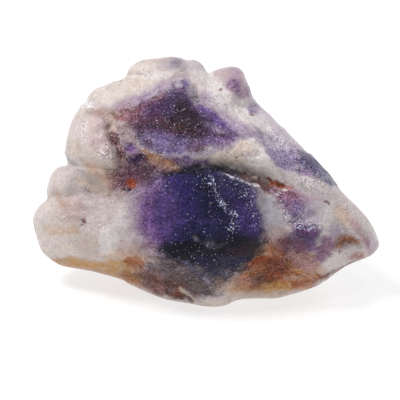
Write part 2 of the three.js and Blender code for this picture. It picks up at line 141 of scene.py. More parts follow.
# Ridges and grooves: points (u, v, height), reach to the left and to the right of their direction
FRONT_CREASES = {
    "main groove": (
        [(-11, 2.2, 0), (-7, 2.7, -1.2), (-2, 2.9, -1.6), (4, 2.8, -2.6), (8, 2, -3.4), (12.4, 0.2, -2.8),
         (15, -0.8, -1.6), (18, -1.6, 0)], 1.7, 1.0),
    "brown groove": (
        [(-18.9, 12.6, 0), (-18.2, 10, -1.6), (-17, 6.8, -2.4), (-15.8, 3.8, -2.2), (-14.6, 0.8, -1.8),
         (-13.4, -2.4, 0)], 1.4, 1.4),
    "knob foot groove": (
        [(-26.8, 3.6, -2), (-24, 1.4, -1.6), (-21.6, -1, -1.5), (-19, -2.4, -1.2),
         (-15, -3.2, 0)], 1.2, 2.2),
    "cap groove": ([(-15.6, 20, -1.8), (-12, 20.6, -1.2), (-9, 21, -0.5), (-5, 20.8, 0)], 0.9, 1.6),
    "top knob groove": ([(1.6, 21.8, -2.2), (4, 18.8, -1.8), (7, 15.4, -1.2), (10, 12.6, 0)], 0.8, 1.0),
    "left fold": ([(-30.9, -3.6, -2), (-28.8, -3, -1.5), (-27.4, -4.8, -0.9), (-26.6, -8, 0)], 0.9, 1.2),
    "red groove": (
        [(25.6, -13.8, 0), (27.6, -12.6, -1.2), (29, -11.6, -1.4), (31.2, -12.4, -1),
         (32.6, -14.2, 0)], 0.8, 1.2),
    "valley": (
        [(14.2, -7, 0), (13.4, -11, -0.9), (11.2, -15, -1.1), (7.6, -19, -0.8), (4.6, -23, 0)], 2.2, 1.6),
    "nodule valley": ([(14.6, -6.6, -0.6), (17.2, -8.2, -1), (21, -6.4, -0.8), (24.4, -5.6, 0)], 0.8, 0.8),
    "last nodule valley": (
        [(19.4, -14.6, 0), (22, -13.2, -0.8), (23.6, -11.4, -0.8), (25.8, -9.8, 0)], 0.7, 0.7),
    "upper crest": (
        [(-15.2, 13.6, 0), (-13.6, 9.6, 0.9), (-11.4, 6.8, 1.2), (-8, 5.2, 1.3), (-3, 4.7, 1), (2, 4.6, 0.8),
         (5.6, 5.2, 0)], 3.0, 0.9),
    "dark edge": ([(1.6, 1.6, 0), (4.4, 1.2, 0.7), (8, 0, 1), (11, -1.2, 0.9), (13, -3.6, 0)], 0.7, 3.0),
    "dark ridge": ([(1.6, 1.4, 0.2), (3, -2.2, 0.6), (4.8, -5, 0.5), (7.4, -6.8, 0)], 1.6, 1.6),
    "white crest": (
        [(-3, 21.4, 0), (0.6, 19.4, 0.8), (5, 15.4, 1), (8.8, 11.4, 1.1), (11.2, 8, 0.3)], 2.4, 2.6),
    "pink crest": (
        [(4.6, 6.2, 0), (8.4, 8.2, 1.2), (11.6, 7, 2.2), (13.6, 4, 2.8), (16.6, 1.2, 2.2), (20, -0.6, 1.4),
         (24.6, -2.6, 0)], 0.8, 4.5),
    "tip edge": ([(26.4, -5.2, 0), (28.2, -7.6, 0.9), (29.6, -9.6, 1), (30.8, -12, 0)], 1.8, 0.7),
    "lilac edge": ([(18, 8.6, 0), (20.4, 4.8, 0.8), (25, 0.4, 0.9), (30, -5.4, 0.4)], 0.8, 2.0),
}
BACK_CREASES = {
    "groove": ([(-15, 15, 0), (-9, 9, -1.6), (-9.6, 1, -1.8), (-5, -8, 0)], 1.8, 2.6),
    "crest": ([(-4, 12, 0), (4, 7, 1.8), (14, 4, 1.6), (22, -3, 0)], 3.6, 1.8),
}

# Round lumps: centre (u, v), half width and height, turn in degrees, how far each stands out
FRONT_LUMPS = {
    "left knob": ((-21.8, 7.8), (7.4, 8.8), 8, 4.2),
    "knob top": ((-20.2, 12.8), (4.6, 3.6), 20, 1.4),
    "small knob": ((-18.4, 4.8), (3.2, 2.8), 30, 1.0),
    "cap": ((-8, 23.4), (9, 4), 3, 2.6),
    "top knob": ((6.8, 19), (4.6, 4.6), -30, 3.8),
    "upper nodule": ((18.4, -4.6), (4.2, 3.6), -30, 1.6),
    "lower nodule": ((21.2, -10.4), (4.6, 3.6), -20, 1.9),
    "last nodule": ((25.2, -13.8), (3.2, 3.6), 20, 1.4),
    "tip": ((32.8, -10.5), (4.4, 7.5), 30, 2.4),
    "left lobe": ((-29.8, -9.6), (6, 8.2), 0, 2.0),
    "upper left lobe": ((-28.6, -0.2), (4.2, 4.6), 0, 2.2),
    "white swell": ((-18, -13), (7.5, 4.6), 10, 1.2),
    "stained swell": ((20, -18.4), (7, 3.4), 22, 1.0),
}
BACK_LUMPS = {
    "knob": ((-17, -3), (8, 6.5), 20, 2.0),
    "shoulder": ((10, 11), (7.5, 5), -35, 1.8),
}

# Pigments, as eight-bit screen colours. White quartz also serves for painted highlights, and black and grey
# also for painted shade
PIGMENTS = {
    "milk": (200, 187, 187), "warm milk": (206, 189, 182), "white quartz": (222, 214, 214),
    "cream": (214, 201, 194), "bright cream": (234, 216, 204), "beige": (190, 170, 154),
    "tan": (184, 144, 112), "ochre": (184, 140, 82), "yellow ochre": (188, 138, 62),
    "orange rust": (138, 62, 28), "orange brown": (150, 84, 34), "rust": (142, 74, 50),
    "brown": (116, 72, 50), "dark brown": (80, 52, 48), "red brown": (112, 60, 58), "plum": (108, 70, 84),
    "dark plum": (70, 44, 62), "umber black": (46, 32, 42), "dark violet": (56, 36, 70),
    "orchid": (112, 78, 134), "mauve": (142, 110, 144), "grey": (172, 165, 170),
    "blue grey": (150, 150, 174), "dark grey": (84, 76, 84), "ash": (128, 120, 130),
    "lilac": (170, 152, 176), "pale lilac": (196, 183, 197), "violet": (88, 62, 108),
    "bright violet": (84, 62, 128), "magenta violet": (116, 76, 124), "blue violet": (104, 88, 132),
    "slate violet": (92, 86, 114), "indigo": (46, 38, 94), "night": (28, 26, 62), "black": (15, 13, 27),
    "rose": (172, 124, 138),
}


def linear(screen_colour):
    """An eight-bit screen colour as linear light."""
    value = np.array(screen_colour) / 255
    return np.where(value <= 0.04045, value / 12.92, ((value + 0.055) / 1.055) ** 2.4)


# Noise and weathering, as in the solid


def scatter(i, j, k):
    """A value from 0 to 1 for each lattice point: the fraction of a large multiple of a sine."""
    across, up, deep, multiple = SCATTER
    value = np.sin(i * across + j * up + k * deep) * multiple
    return value - np.floor(value)


def smooth_noise(points):
    """Scattered lattice values from -1 to 1, eased between the eight corners of each cell."""
    cell = np.floor(points)
    share = points - cell
    share = share * share * (3 - 2 * share)
    total = np.zeros(len(points))
    for corner in np.ndindex(2, 2, 2):
        sides = [share[:, axis] if corner[axis] else 1 - share[:, axis] for axis in range(3)]
        total += sides[0] * sides[1] * sides[2] * scatter(*(cell + corner).T)
    return 2 * total - 1


def layered_noise(points, size, octaves):
    """Smooth noise of a size, with each further octave half as large and half as strong."""
    return sum(smooth_noise(points * 2 ** k / size + OCTAVE_SHIFT * k) / 2 ** k for k in range(octaves))


def hollows(points):
    """Squared distance to the nearest of points scattered one to a cell: dents with sharp ridges between."""
    cell = np.floor(points)
    nearest = np.full(len(points), np.inf)
    for step in np.ndindex(3, 3, 3):
        i, j, k = (cell + step - 1).T
        scattered = [scatter(i + a, j + b, k + c) for a, b, c in HOLLOW_SHIFTS]
        place = np.stack([i + scattered[0], j + scattered[1], k + scattered[2]], axis=-1)
        nearest = np.minimum(nearest, ((place - points) ** 2).sum(axis=1))
    return nearest - HOLLOW_LEVEL


def wander(points, size, reach):
    """The points moved about by three fields of smooth noise."""
    shifts = [smooth_noise(points / size + shift) for shift in WARP_SHIFTS]
    return points + reach * np.stack(shifts, axis=-1)


def ease(value, low=0.0, high=1.0):
    """0 below low, 1 above high, and a smooth rise between."""
    share = np.clip((value - low) / (high - low), 0, 1)
    return share * share * (3 - 2 * share)


# The form, as in the solid


def box_directions(across, up, deep):
    """Unit directions through the vertices of a box's grid, spread evenly by a tangent, and its quads."""
    cells = {"x": across, "y": up, "z": deep}
    corners, quads, first = [], [], 0
    for axis, first_side, second_side in ("xyz", "yzx", "zxy"):
        columns, rows = cells[first_side] + 1, cells[second_side] + 1
        a, b = np.meshgrid(np.linspace(-1, 1, columns), np.linspace(-1, 1, rows), indexing="ij")
        start = (np.arange(columns - 1)[:, None] * rows + np.arange(rows - 1)).ravel()
        loop = np.stack([start, start + rows, start + rows + 1, start + 1], axis=-1)
        for sign in (1.0, -1.0):
            sides = {axis: np.full(a.shape, sign), first_side: a, second_side: b}
            corners.append(np.stack([sides["x"], sides["y"], sides["z"]], axis=-1).reshape(-1, 3))
            quads.append((loop if sign > 0 else loop[:, ::-1]) + first)
            first += a.size
    rounded = np.round(np.concatenate(corners), MERGE_DIGITS)
    merged, index = np.unique(rounded, axis=0, return_inverse=True)
    spread = np.tan(merged * math.pi / 4)
    return spread / np.linalg.norm(spread, axis=1, keepdims=True), index.reshape(-1)[np.concatenate(quads)]


def outline_reach(angle):
    """Distance from the middle to a closed Catmull-Rom curve through the outline's points, at each angle."""
    p = np.array(OUTLINE, float)
    before, after, beyond = np.roll(p, 1, axis=0), np.roll(p, -1, axis=0), np.roll(p, -2, axis=0)
    spans = []
    for t in np.arange(OUTLINE_STEPS_PER_POINT) / OUTLINE_STEPS_PER_POINT:
        straight = 2 * p + (after - before) * t
        square = (2 * before - 5 * p + 4 * after - beyond) * t ** 2
        cube = (3 * p - before - 3 * after + beyond) * t ** 3
        spans.append((straight + (square + cube)) / 2)
    curve = np.concatenate(spans)
    turn = np.arctan2(curve[:, 1], curve[:, 0])
    order = np.argsort(turn)
    return np.interp(angle, turn[order], np.hypot(curve[:, 0], curve[:, 1])[order], period=2 * math.pi)


def face_height(faces, deepest, u, v):
    """The least height of the tilted planes, with a hyperbola's rounding where two of them meet."""
    low = np.full(u.shape, deepest)
    for (at_u, at_v), height, (rise_u, rise_v) in faces.values():
        plane = height + rise_u * (u - at_u) + rise_v * (v - at_v)
        low = (low + plane - np.hypot(low - plane, FACE_BLEND)) / 2
    return np.maximum(low, LEAST_DEPTH)


def crease_height(points, left, right, u, v):
    """The line's own height, blended between its segments, times an exponential fall to either side."""
    nearest = np.full(u.shape, np.inf)
    total, side, height = 0, 0, 0
    for (au, av, a_height), (bu, bv, b_height) in zip(points[:-1], points[1:]):
        du, dv = bu - au, bv - av
        along = np.clip(((u - au) * du + (v - av) * dv) / (du * du + dv * dv), 0, 1)
        eu, ev = u - au - along * du, v - av - along * dv
        squared = eu * eu + ev * ev
        weight = 1 / (squared + SEGMENT_BLEND) ** 2
        nearest = np.minimum(nearest, squared)
        total = total + weight
        side = side + weight * (du * ev - dv * eu) / math.hypot(du, dv)
        height = height + weight * (a_height + (b_height - a_height) * along)
    left_share = 0.5 + 0.5 * np.tanh(side / total / SIDE_BLEND)
    width = right + (left - right) * left_share
    distance = np.sqrt(nearest + CREASE_ROUNDING ** 2) - CREASE_ROUNDING
    return height / total * np.exp(-distance / width)


def ellipse_square(centre, half, turn, u, v):
    """The squared distance from an ellipse's centre, in units of its turned half sizes."""
    angle = math.radians(turn)
    du, dv = u - centre[0], v - centre[1]
    across = (du * math.cos(angle) + dv * math.sin(angle)) / half[0]
    up = (dv * math.cos(angle) - du * math.sin(angle)) / half[1]
    return across ** 2 + up ** 2


def relief_height(creases, lumps, u, v):
    """The sum of all ridges and grooves, and of lumps whose height is a power of one less the square."""
    ridges = sum(crease_height(points, left, right, u, v) for points, left, right in creases.values())
    rounds = sum(
        out * np.clip(1 - ellipse_square(centre, half, turn, u, v), 0, None) ** LUMP_POWER
        for centre, half, turn, out in lumps.values()
    )
    return ridges + rounds


def weather_depth(points):
    """Broad swells, hollows with sharp edges, and smaller chips in patches."""
    moved = wander(points, WARP_SIZE, WARP_REACH)
    chipped = smooth_noise(points / PATCH_SIZE + PATCH_SHIFT)
    share = np.clip(PATCH_SHARE + PATCH_CONTRAST * chipped, 0, 1)
    return (
        SWELL_DEPTH * layered_noise(points, SWELL_SIZE, SWELL_OCTAVES)
        + HOLLOW_DEPTH * hollows(moved / HOLLOW_SIZE)
        + CHIP_DEPTH * share * hollows((moved + CHIP_SHIFT) / CHIP_SIZE)
    )


def grain_depth(points):
    """Fine unevenness, and small pits in patches."""
    moved = wander(points, PIT_SIZE, PIT_WANDER)
    share = ease(smooth_noise(points / PITTED_SIZE + PITTED_SHIFT), *PITTED_RANGE)
    return (
        GRAIN_DEPTH * layered_noise(points + GRAIN_SHIFT, GRAIN_SIZE, GRAIN_OCTAVES)
        + PIT_DEPTH * share * hollows(moved / PIT_SIZE)
    )


def rim_power(angle):
    """How square the section is at each angle: a mean, one swing a turn, and a ripple of three."""
    swing = RIM_POWER["swing"] * np.cos(angle - RIM_POWER["turn"])
    return RIM_POWER["mean"] + swing + RIM_POWER["ripple"] * np.sin(3 * angle)


def rim_height(angle):
    """How far the rim stands out of the plane: a mean and waves of one, two and three a turn."""
    once = RIM_HEIGHT["once"] * np.cos(angle + RIM_HEIGHT["turn"])
    twice = RIM_HEIGHT["twice"] * np.cos(2 * angle)
    return RIM_HEIGHT["mean"] + once + twice + RIM_HEIGHT["thrice"] * np.sin(3 * angle)


def leaning_surface(directions):
    """One point for each direction, on the leaning plane, and its share of the depth, negative behind.

    A direction is stretched to a superellipsoid whose power varies round the rim. Its share of the width,
    times the outline's reach, gives u and v. Its share of the depth, times the height of the broken faces,
    gives w. To that come the rim's height, at the rim, and the relief and the weathering, away from it.
    """
    x, y, z = directions.T
    angle = np.arctan2(y, x)
    flat = np.hypot(x, y)
    power = rim_power(angle)
    stretch = (flat ** power + np.abs(z) ** power) ** (-1 / power)
    share, depth_share = flat * stretch, z * stretch
    reach = outline_reach(angle)
    u, v = share * reach * np.cos(angle), share * reach * np.sin(angle)
    fade = ease(np.abs(depth_share) * RIM_FADE)
    front = depth_share * face_height(FRONT_FACES, FRONT_DEPTH, u, v)
    front += fade * relief_height(FRONT_CREASES, FRONT_LUMPS, u, v)
    back = depth_share * face_height(BACK_FACES, BACK_DEPTH, u, v)
    back -= fade * relief_height(BACK_CREASES, BACK_LUMPS, u, v)
    w = rim_height(angle) * share ** 3 + np.where(z > 0, front, back)
    points = np.stack([u, v, w], axis=-1)
    outward = points / np.linalg.norm(points, axis=1, keepdims=True)
    depth = weather_depth(points) + grain_depth(points)
    return points + outward * (depth * fade)[:, None], depth_share


def stand(points):
    """Leans the form back, flattens what reaches below the foot, and sets the foot on Z = 0, in metres."""
    lean = math.radians(LEAN_DEGREES)
    u, v, w = points.T
    away = v * math.sin(lean) - w * math.cos(lean)
    up = v * math.cos(lean) + w * math.sin(lean)
    stood = np.stack([u, away, up], axis=-1)
    below = up < -MIDDLE_HEIGHT
    stood[below] *= (-MIDDLE_HEIGHT / up[below])[:, None]
    return (stood + (-FOOT_CENTRE[0], -FOOT_CENTRE[1], MIDDLE_HEIGHT)) * MILLIMETRE


# Zones of colour: each measures how far a point lies outside it, in mm on the leaning plane


def patch(pigment, centre, half, turn, strength, soft=0.8, broken=0.2):
    """A turned ellipse."""
    def outside(u, v):
        return (np.sqrt(ellipse_square(centre, half, turn, u, v)) - 1) * min(half)
    return outside, pigment, strength, soft, broken


def stroke(pigment, points, half, strength, soft=0.5, broken=0.2):
    """A band to either side of a line of points."""
    def outside(u, v):
        squared = np.full(u.shape, np.inf)
        for (au, av), (bu, bv) in zip(points[:-1], points[1:]):
            du, dv = bu - au, bv - av
            along = np.clip(((u - au) * du + (v - av) * dv) / (du * du + dv * dv), 0, 1)
            squared = np.minimum(squared, (u - au - along * du) ** 2 + (v - av - along * dv) ** 2)
        return np.sqrt(squared) - half
    return outside, pigment, strength, soft, broken


def region(pigment, points, strength, soft=0.8, broken=0.2):
    """The inside of a closed outline."""
    along_edge = stroke(pigment, points + points[:1], 0, strength)[0]

    def outside(u, v):
        crossings = np.zeros(u.shape, int)
        for (au, av), (bu, bv) in zip(points, points[1:] + points[:1]):
            spans = (av > v) != (bv > v)
            if av != bv:
                crossings += spans & (u < au + (v - av) / (bv - av) * (bu - au))
        return np.where(crossings % 2 == 1, -1, 1) * along_edge(u, v)
    return outside, pigment, strength, soft, broken


# The front's zones hold the stone's own colours and also painted light and shade: some faces are painted
# lighter or darker by how they are lit
FRONT_ZONES = [
    # Milky quartz on the left
    patch("ash", (-26.8, -1.6), (7.8, 4), 0, 0.2, 2),
    patch("cream", (-29, -8), (5, 11), 0, 0.6, 1.8),
    patch("orange rust", (-25.6, -5.7), (3.2, 2.8), 0, 0.35, 1.6, 0.3),
    patch("beige", (-22, -12.4), (2, 2.4), -20, 0.35, 1.2, 0.4),
    patch("warm milk", (-18.6, -6.4), (4.8, 1.6), 0, 0.4, 1.4, 0.3),
    stroke("ochre", [(-31.1, -9.5), (-28.7, -9.9), (-25.7, -10.3), (-24.2, -10.1)], 0.75, 0.55, 0.5, 0.5),
    stroke("tan", [(-29.6, -10.6), (-27.4, -10.8), (-25.6, -10.4)], 0.25, 0.5, 0.4, 0.6),
    stroke("tan", [(-28.7, -2.2), (-28.1, -3.6), (-27.6, -4.8)], 0.45, 0.6, 0.6, 0.4),
    patch("beige", (-22.2, -13.6), (2.4, 2), -30, 0.45, 1.2, 0.4),
    patch("bright cream", (-28.5, -13), (4.4, 4), 30, 0.2, 1.2, 0.5),
    stroke("ash", [(-23, -11), (-21.6, -12.8), (-20.6, -15)], 0.12, 0.4, 0.4, 0.5),
    patch("white quartz", (-18, -12.6), (2, 2.5), -20, 1, 0.7),
    patch("bright cream", (-26.3, -13.3), (1.2, 1.1), 20, 1, 0.4, 0.4),
    patch("white quartz", (-25.1, -14.9), (1.6, 0.5), -20, 0.9, 0.4, 0.4),
    patch("white quartz", (-15.4, -7.6), (1.5, 1.6), 0, 0.75, 0.9, 0.4),
    region("brown", [(-23.1, -0.3), (-20.1, 0.1), (-17.1, -1.1), (-14.7, -2.9), (-15.5, -4.1), (-19.1, -3.7),
        (-23.1, -2.1)], 0.5, 1.2, 0.4),
    region("beige", [(-24.8, 1), (-21.8, 1.2), (-18.8, 0), (-16.4, -1.6), (-17.2, -2.6), (-20.8, -2.2),
        (-24.8, -0.6)], 0.75, 0.8, 0.3),
    patch("black", (-21.8, -3.4), (1.8, 0.8), -25, 0.25, 0.5, 0.5),
    patch("orange brown", (-14, -13.6), (2.8, 1.4), 0, 0.35, 1, 0.3),
    # Ochre and rust along the lower left edge
    region("yellow ochre", [(-20, -15), (-17.6, -14.4), (-14.2, -14), (-11.2, -14.6), (-9.2, -16),
        (-12.6, -18), (-17.6, -17.4)], 0.5, 0.9, 0.3),
    patch("brown", (-12.4, -15), (3.2, 0.6), -10, 0.3, 0.8, 0.5),
    stroke("tan", [(-29.1, -16.3), (-25.5, -17.1), (-20.5, -18.1), (-15.5, -19.7), (-12.1, -21.3)], 0.9, 1),
    stroke("ochre", [(-26, -15.8), (-24, -16.3), (-21, -16.8), (-18, -17.1), (-15, -17.2)], 0.9, 0.9, 0.6,
        0.3),
    stroke("yellow ochre", [(-25, -16.7), (-21, -17.2), (-18.5, -17.3)], 0.35, 0.6, 0.5, 0.4),
    stroke("ochre", [(-18, -17.9), (-15, -18.3), (-12.6, -19.2)], 1, 1, 0.8, 0.4),
    # Belly
    region("dark grey", [(-10.9, -16.8), (-7.5, -15.8), (-2.9, -15.8), (3.1, -16.4), (8.5, -17.2),
        (6.1, -20.2), (4.5, -23), (1.1, -23.4), (-2.9, -22.6), (-7.9, -21.2), (-11.9, -19.6)], 0.95, 1, 0.1),
    region("orange rust", [(-16.2, -18.5), (-12.6, -17.5), (-8.6, -18.3), (-3.6, -20.3), (-2.2, -23.1),
        (-6, -23.3), (-10.6, -22.3), (-15.4, -20.7)], 0.75, 1.6, 0.4),
    patch("dark brown", (-5, -16.4), (4.4, 1.5), -8, 0.6, 0.9, 0.3),
    patch("dark brown", (-3, -20.7), (5, 2.5), -14, 0.75, 1.2, 0.4),
    stroke("umber black", [(-13, -18.8), (-10, -19.4), (-7, -20.6)], 0.4, 0.5, 0.5, 0.5),
    stroke("ash", [(-9.6, -17), (-6.6, -17.8), (-3.6, -17.6)], 0.3, 0.5, 0.4, 0.5),
    patch("ash", (-7.9, -18.9), (3.4, 0.6), -14, 0.35, 0.8, 0.6),
    patch("dark brown", (-8.9, -20.9), (3.2, 0.9), -14, 0.6, 0.6, 0.4),
    patch("plum", (-9.6, -21.8), (1.9, 0.7), -16, 0.7, 0.5, 0.4),
    patch("red brown", (-8.9, -22.4), (1.4, 0.7), -16, 0.9, 0.6, 0.3),
    stroke("dark brown", [(-6.7, -22.4), (-4.3, -23.1), (-2.1, -23.7)], 0.7, 1, 0.5, 0.3),
    stroke("orange rust", [(-5.8, -23.1), (-3.6, -22.4)], 0.4, 0.4, 0.5, 0.5),
    patch("plum", (-1.2, -23.2), (1.6, 0.5), -10, 0.7, 0.5, 0.4),
    patch("tan", (3.6, -20.6), (1.7, 1.5), 40, 0.3, 1, 0.4),
    patch("milk", (4.6, -22), (1.4, 0.8), 40, 0.45, 0.6, 0.4),
    stroke("beige", [(-13.6, -21.2), (-9.2, -23.4), (-5.2, -24.3), (-1.2, -24.9), (2.8, -25.2),
        (5.8, -24.3)], 0.3, 0.7, 0.8),
    patch("bright cream", (3.1, -24.4), (3.5, 0.9), 10, 0.5, 0.6, 0.3),
    # Stained quartz at the lower right
    region("tan", [(5, -21.7), (7.4, -19.3), (9.6, -16.7), (11.4, -14.7), (13, -12.3), (16.2, -13.3),
        (20.2, -13.7), (23.2, -15.1), (24.8, -18.3), (21.2, -21.5), (16.2, -23.3), (10.2, -23.3),
        (6.2, -23.1)], 1, 1.3, 0.1),
    region("orange brown", [(7.5, -19.4), (9.5, -16.8), (13.5, -15.8), (18.5, -16.4), (22.5, -18.6),
        (19.5, -21.4), (13.5, -22.2), (7.5, -21.6)], 0.9, 2.1, 0.3),
    region("rose", [(17, -13.6), (20, -13.6), (23.2, -15.4), (24, -18), (21, -18.8), (17.6, -17), (16, -15)],
        0.6, 0.8, 0.3),
    patch("umber black", (8.4, -16.8), (3.8, 1.4), 35, 1, 1, 0.25),
    patch("orange rust", (14.8, -13.8), (1.8, 3.9), 20, 0.9, 1.2, 0.3),
    region("orange rust", [(9.4, -16.4), (11, -15), (13.4, -14.8), (15, -15.6), (14, -16.8), (11.4, -17.4),
        (10, -17.6)], 1, 0.8, 0.3),
    region("red brown", [(12.4, -16.8), (14.6, -15.2), (18, -15.6), (19, -17.6), (17, -18.6), (13, -18.2)],
        0.8, 0.7, 0.35),
    region("brown", [(9.8, -19), (11.8, -18), (15, -18.2), (15.4, -20), (13.2, -21.4), (10.2, -21.2)], 1,
        0.8, 0.25),
    patch("dark brown", (12.3, -19.7), (2.2, 0.9), 20, 0.7, 0.6, 0.3),
    stroke("yellow ochre", [(17.2, -16.4), (18.4, -17.4), (20, -18.2)], 0.6, 0.4, 0.6, 0.4),
    stroke("orange rust", [(13.8, -19.2), (15.2, -19), (16.4, -19.4)], 0.7, 0.8, 0.5, 0.3),
    stroke("yellow ochre", [(13.3, -21.9), (15.3, -21.3), (18.9, -21.1), (21.3, -21.5)], 1, 0.7, 0.7, 0.4),
    stroke("orange brown", [(18.7, -20.3), (21.9, -19.9), (24.9, -19.2)], 0.7, 1, 0.6, 0.3),
    stroke("rust", [(18.6, -21.4), (20.2, -21), (22.8, -20.8)], 0.75, 0.8, 0.6, 0.4),
    stroke("beige", [(16.4, -19.8), (19, -19.4), (20.4, -19.2)], 0.2, 0.5, 0.6, 0.5),
    stroke("rose", [(6.9, -20.4), (8.9, -19.8), (10.7, -20.2)], 0.7, 0.25, 0.6, 0.4),
    stroke("beige", [(5, -23.4), (9, -23), (13, -22.9), (18, -22.5), (20, -22)], 0.3, 0.85, 0.6),
    patch("magenta violet", (21.8, -13.4), (3.2, 1), -8, 0.95, 0.8, 0.3),
    stroke("warm milk", [(5, -24.4), (11, -23.8), (16, -23.5), (20, -22.6)], 0.25, 0.9, 0.4),
    # Right side, between the dark face and the tip
    region("white quartz", [(13, -2), (16, -1.8), (22, -2.6), (27, -5), (30, -9), (29, -13), (24, -12),
        (17, -9.4), (14.4, -12)], 0.9, 1),
    region("blue grey", [(12, -2.7), (14.6, -3.7), (16.4, -7.7), (17.2, -10.3), (14.6, -11.3), (12.2, -9.7)],
        0.5, 1),
    patch("orange brown", (15, -10.6), (4.4, 1.6), 0, 0.4, 0.9, 0.3),
    patch("lilac", (22, -6), (2.6, 5), -20, 0.5, 1.1),
    patch("orchid", (27.6, -10.6), (2.4, 1.4), -20, 0.5, 0.8, 0.3),
    # Nodules
    region("lilac", [(14.4, -1.8), (17, -1.4), (20, -2), (22.2, -3.8), (22.6, -6.8), (21.2, -8.4), (18, -8),
        (16.2, -6)], 1, 1, 0.1),
    region("orchid", [(14.8, -2.3), (18, -2), (20.2, -3.3), (20.4, -6.1), (19, -7.5), (17, -6.5)], 0.9, 0.9,
        0.3),
    patch("rose", (18, -3.1), (4.8, 1.1), -8, 0.6, 0.5, 0.3),
    patch("red brown", (16.8, -2.5), (2.4, 0.5), -8, 0.8, 0.5, 0.3),
    patch("plum", (16.3, -4.5), (1.8, 1.6), -20, 0.55, 0.7, 0.3),
    region("violet", [(17.6, -10), (18.6, -8.6), (22, -8.7), (24.2, -10), (23.8, -11.8), (22.4, -12.8),
        (18.6, -12.8), (17, -12)], 1, 1.3),
    patch("dark violet", (20.7, -10.5), (2.1, 1.5), 5, 0.75, 0.9, 0.3),
    patch("magenta violet", (21.6, -10.3), (2.2, 0.7), -10, 0.95, 0.4, 0.4),
    patch("plum", (18.2, -13.2), (3.2, 1.5), -12, 1, 0.9, 0.3),
    region("mauve", [(24.2, -11.3), (26, -11.1), (27.2, -12.7), (26.4, -14.5), (24.8, -16.5), (22.8, -16.3),
        (22.6, -14.7), (23.8, -12.9)], 0.95, 0.5, 0.1),
    patch("orange rust", (24.8, -13.8), (1.3, 3), -30, 0.3, 0.6, 0.3),
    # Tip
    patch("ochre", (28.5, -7.1), (1.3, 2.6), 35, 0.45, 0.8, 0.4),
    patch("beige", (29, -7.6), (1.6, 2), 35, 0.6, 0.8, 0.3),
    stroke("rose", [(30.2, -8.2), (32, -10.4), (33.4, -12.6), (33.8, -14.4)], 0.5, 0.8, 0.6, 0.4),
    patch("orchid", (34.4, -13.2), (1.2, 2), 20, 0.3, 0.6, 0.3),
    region("cream", [(25.6, -15.6), (27.6, -14.8), (28.8, -15.2), (28.4, -16.8), (26.4, -18.2), (24, -19.2),
        (23.4, -17.8)], 0.4),
    region("orange brown", [(26.6, -13.8), (27.2, -12), (28.2, -10.8), (30.2, -11), (31.8, -12.7),
        (30, -12.6), (28.4, -12.9)], 0.95, 0.8, 0.1),
    patch("orange rust", (31.6, -15.3), (1.9, 0.6), 10, 0.7, 0.4, 0.5),
    stroke("red brown", [(23.9, -19.6), (27.3, -18.2), (29.7, -17), (32.7, -15.9)], 0.35, 0.9, 0.4),
    # The dark face: pale violet on the left, indigo in the middle, and black along its lower edge, dark
    # quartz deepened by painted shade where the face turns under
    patch("mauve", (-7.4, -5.8), (7.4, 8.2), 0, 0.5, 2.1, 0.1),
    patch("orchid", (-5.4, -6.6), (7.2, 8.2), 0, 1, 2.3, 0.1),
    patch("indigo", (-2.5, -6.3), (6.8, 8.2), 0, 0.7, 1.2, 0.1),
    region("indigo", [(-4.7, -4.2), (-6.1, -0.6), (-7.3, 1.2), (-3.7, 2.4), (2.3, 2.6), (5.3, 1.8),
        (8.3, 0.4), (11.3, -1.8), (12.3, -4.2), (12.7, -8.2), (12.7, -12.2), (8.3, -15.8), (-2.7, -15.8),
        (-6.1, -14), (-5.3, -10.6), (-4.3, -6.2)], 0.95, 2, 0.05),
    region("night", [(-1.6, -0.6), (-4, 2.6), (2, 3), (5, 2), (8, 0.6), (10.6, -1.4), (11.4, -4), (12, -7.6),
        (12, -11.6), (8, -14.6), (0, -15.2), (-5.6, -13.6), (-4, -9.6), (-0.6, -6.6)], 0.9, 3, 0.15),
    # Dark quartz and painted shade: the black band where the dark face bends down to the belly
    region("black", [(-8.6, -13.6), (-5.4, -12.6), (-2, -12.2), (3, -12), (7, -11.4), (11, -11),
        (12.6, -12.6), (10.8, -15.4), (7, -17), (1, -17), (-4, -16.4)], 1, 0.9, 0.1),
    stroke("black", [(-8, 1.5), (-4, 2), (0.6, 1.4), (1.4, -2.2), (3, -5.6)], 0.5, 0.7, 1, 0.3),
    patch("night", (-10.6, -0.4), (3, 1), 25, 0.9, 0.9, 0.3),
    patch("mauve", (-11.5, -1.8), (2, 1.1), 35, 0.75, 1, 0.4),
    region("bright violet", [(5.5, -2), (8.1, -3), (10.1, -5.2), (10.9, -8.6), (10.1, -11.2), (7.7, -9.6),
        (7.1, -5.6)], 0.5, 2.1, 0.4),
    patch("blue violet", (10, -2.8), (1.2, 2.8), 30, 0.45, 0.8, 0.5),
    patch("bright violet", (11.4, -8.6), (0.9, 2.2), 5, 0.5, 0.9, 0.5),
    stroke("bright violet", [(-11, -8.2), (-6, -8.4), (-1, -8.2), (3, -8.3)], 0.2, 0.6),
    patch("umber black", (7.7, -14.2), (3.2, 1.5), 25, 1, 0.8, 0.3),
    patch("dark brown", (11.6, -14.4), (1.2, 1), 30, 0.75, 0.9, 0.4),
    # Below the dark face
    patch("plum", (-10.6, -13.8), (2.4, 1.5), -35, 0.6, 0.9, 0.4),
    # Dark quartz and painted shade: black where the dark face turns under to the belly
    patch("black", (-2, -14.6), (5, 2), 5, 1, 0.6),
    region("night", [(-2.4, -15.4), (0.4, -17.2), (3, -19.4), (4.8, -19.6), (5.2, -18), (8, -17),
        (9.6, -15.4), (4, -14.6)], 0.85, 0.7),
    stroke("slate violet", [(-3.4, -16.2), (-0.4, -18.2), (2.4, -20.2)], 0.4, 0.8, 0.5, 0.3),
    stroke("lilac", [(0.8, -19.6), (2.2, -21.2)], 0.2, 0.75, 0.3),
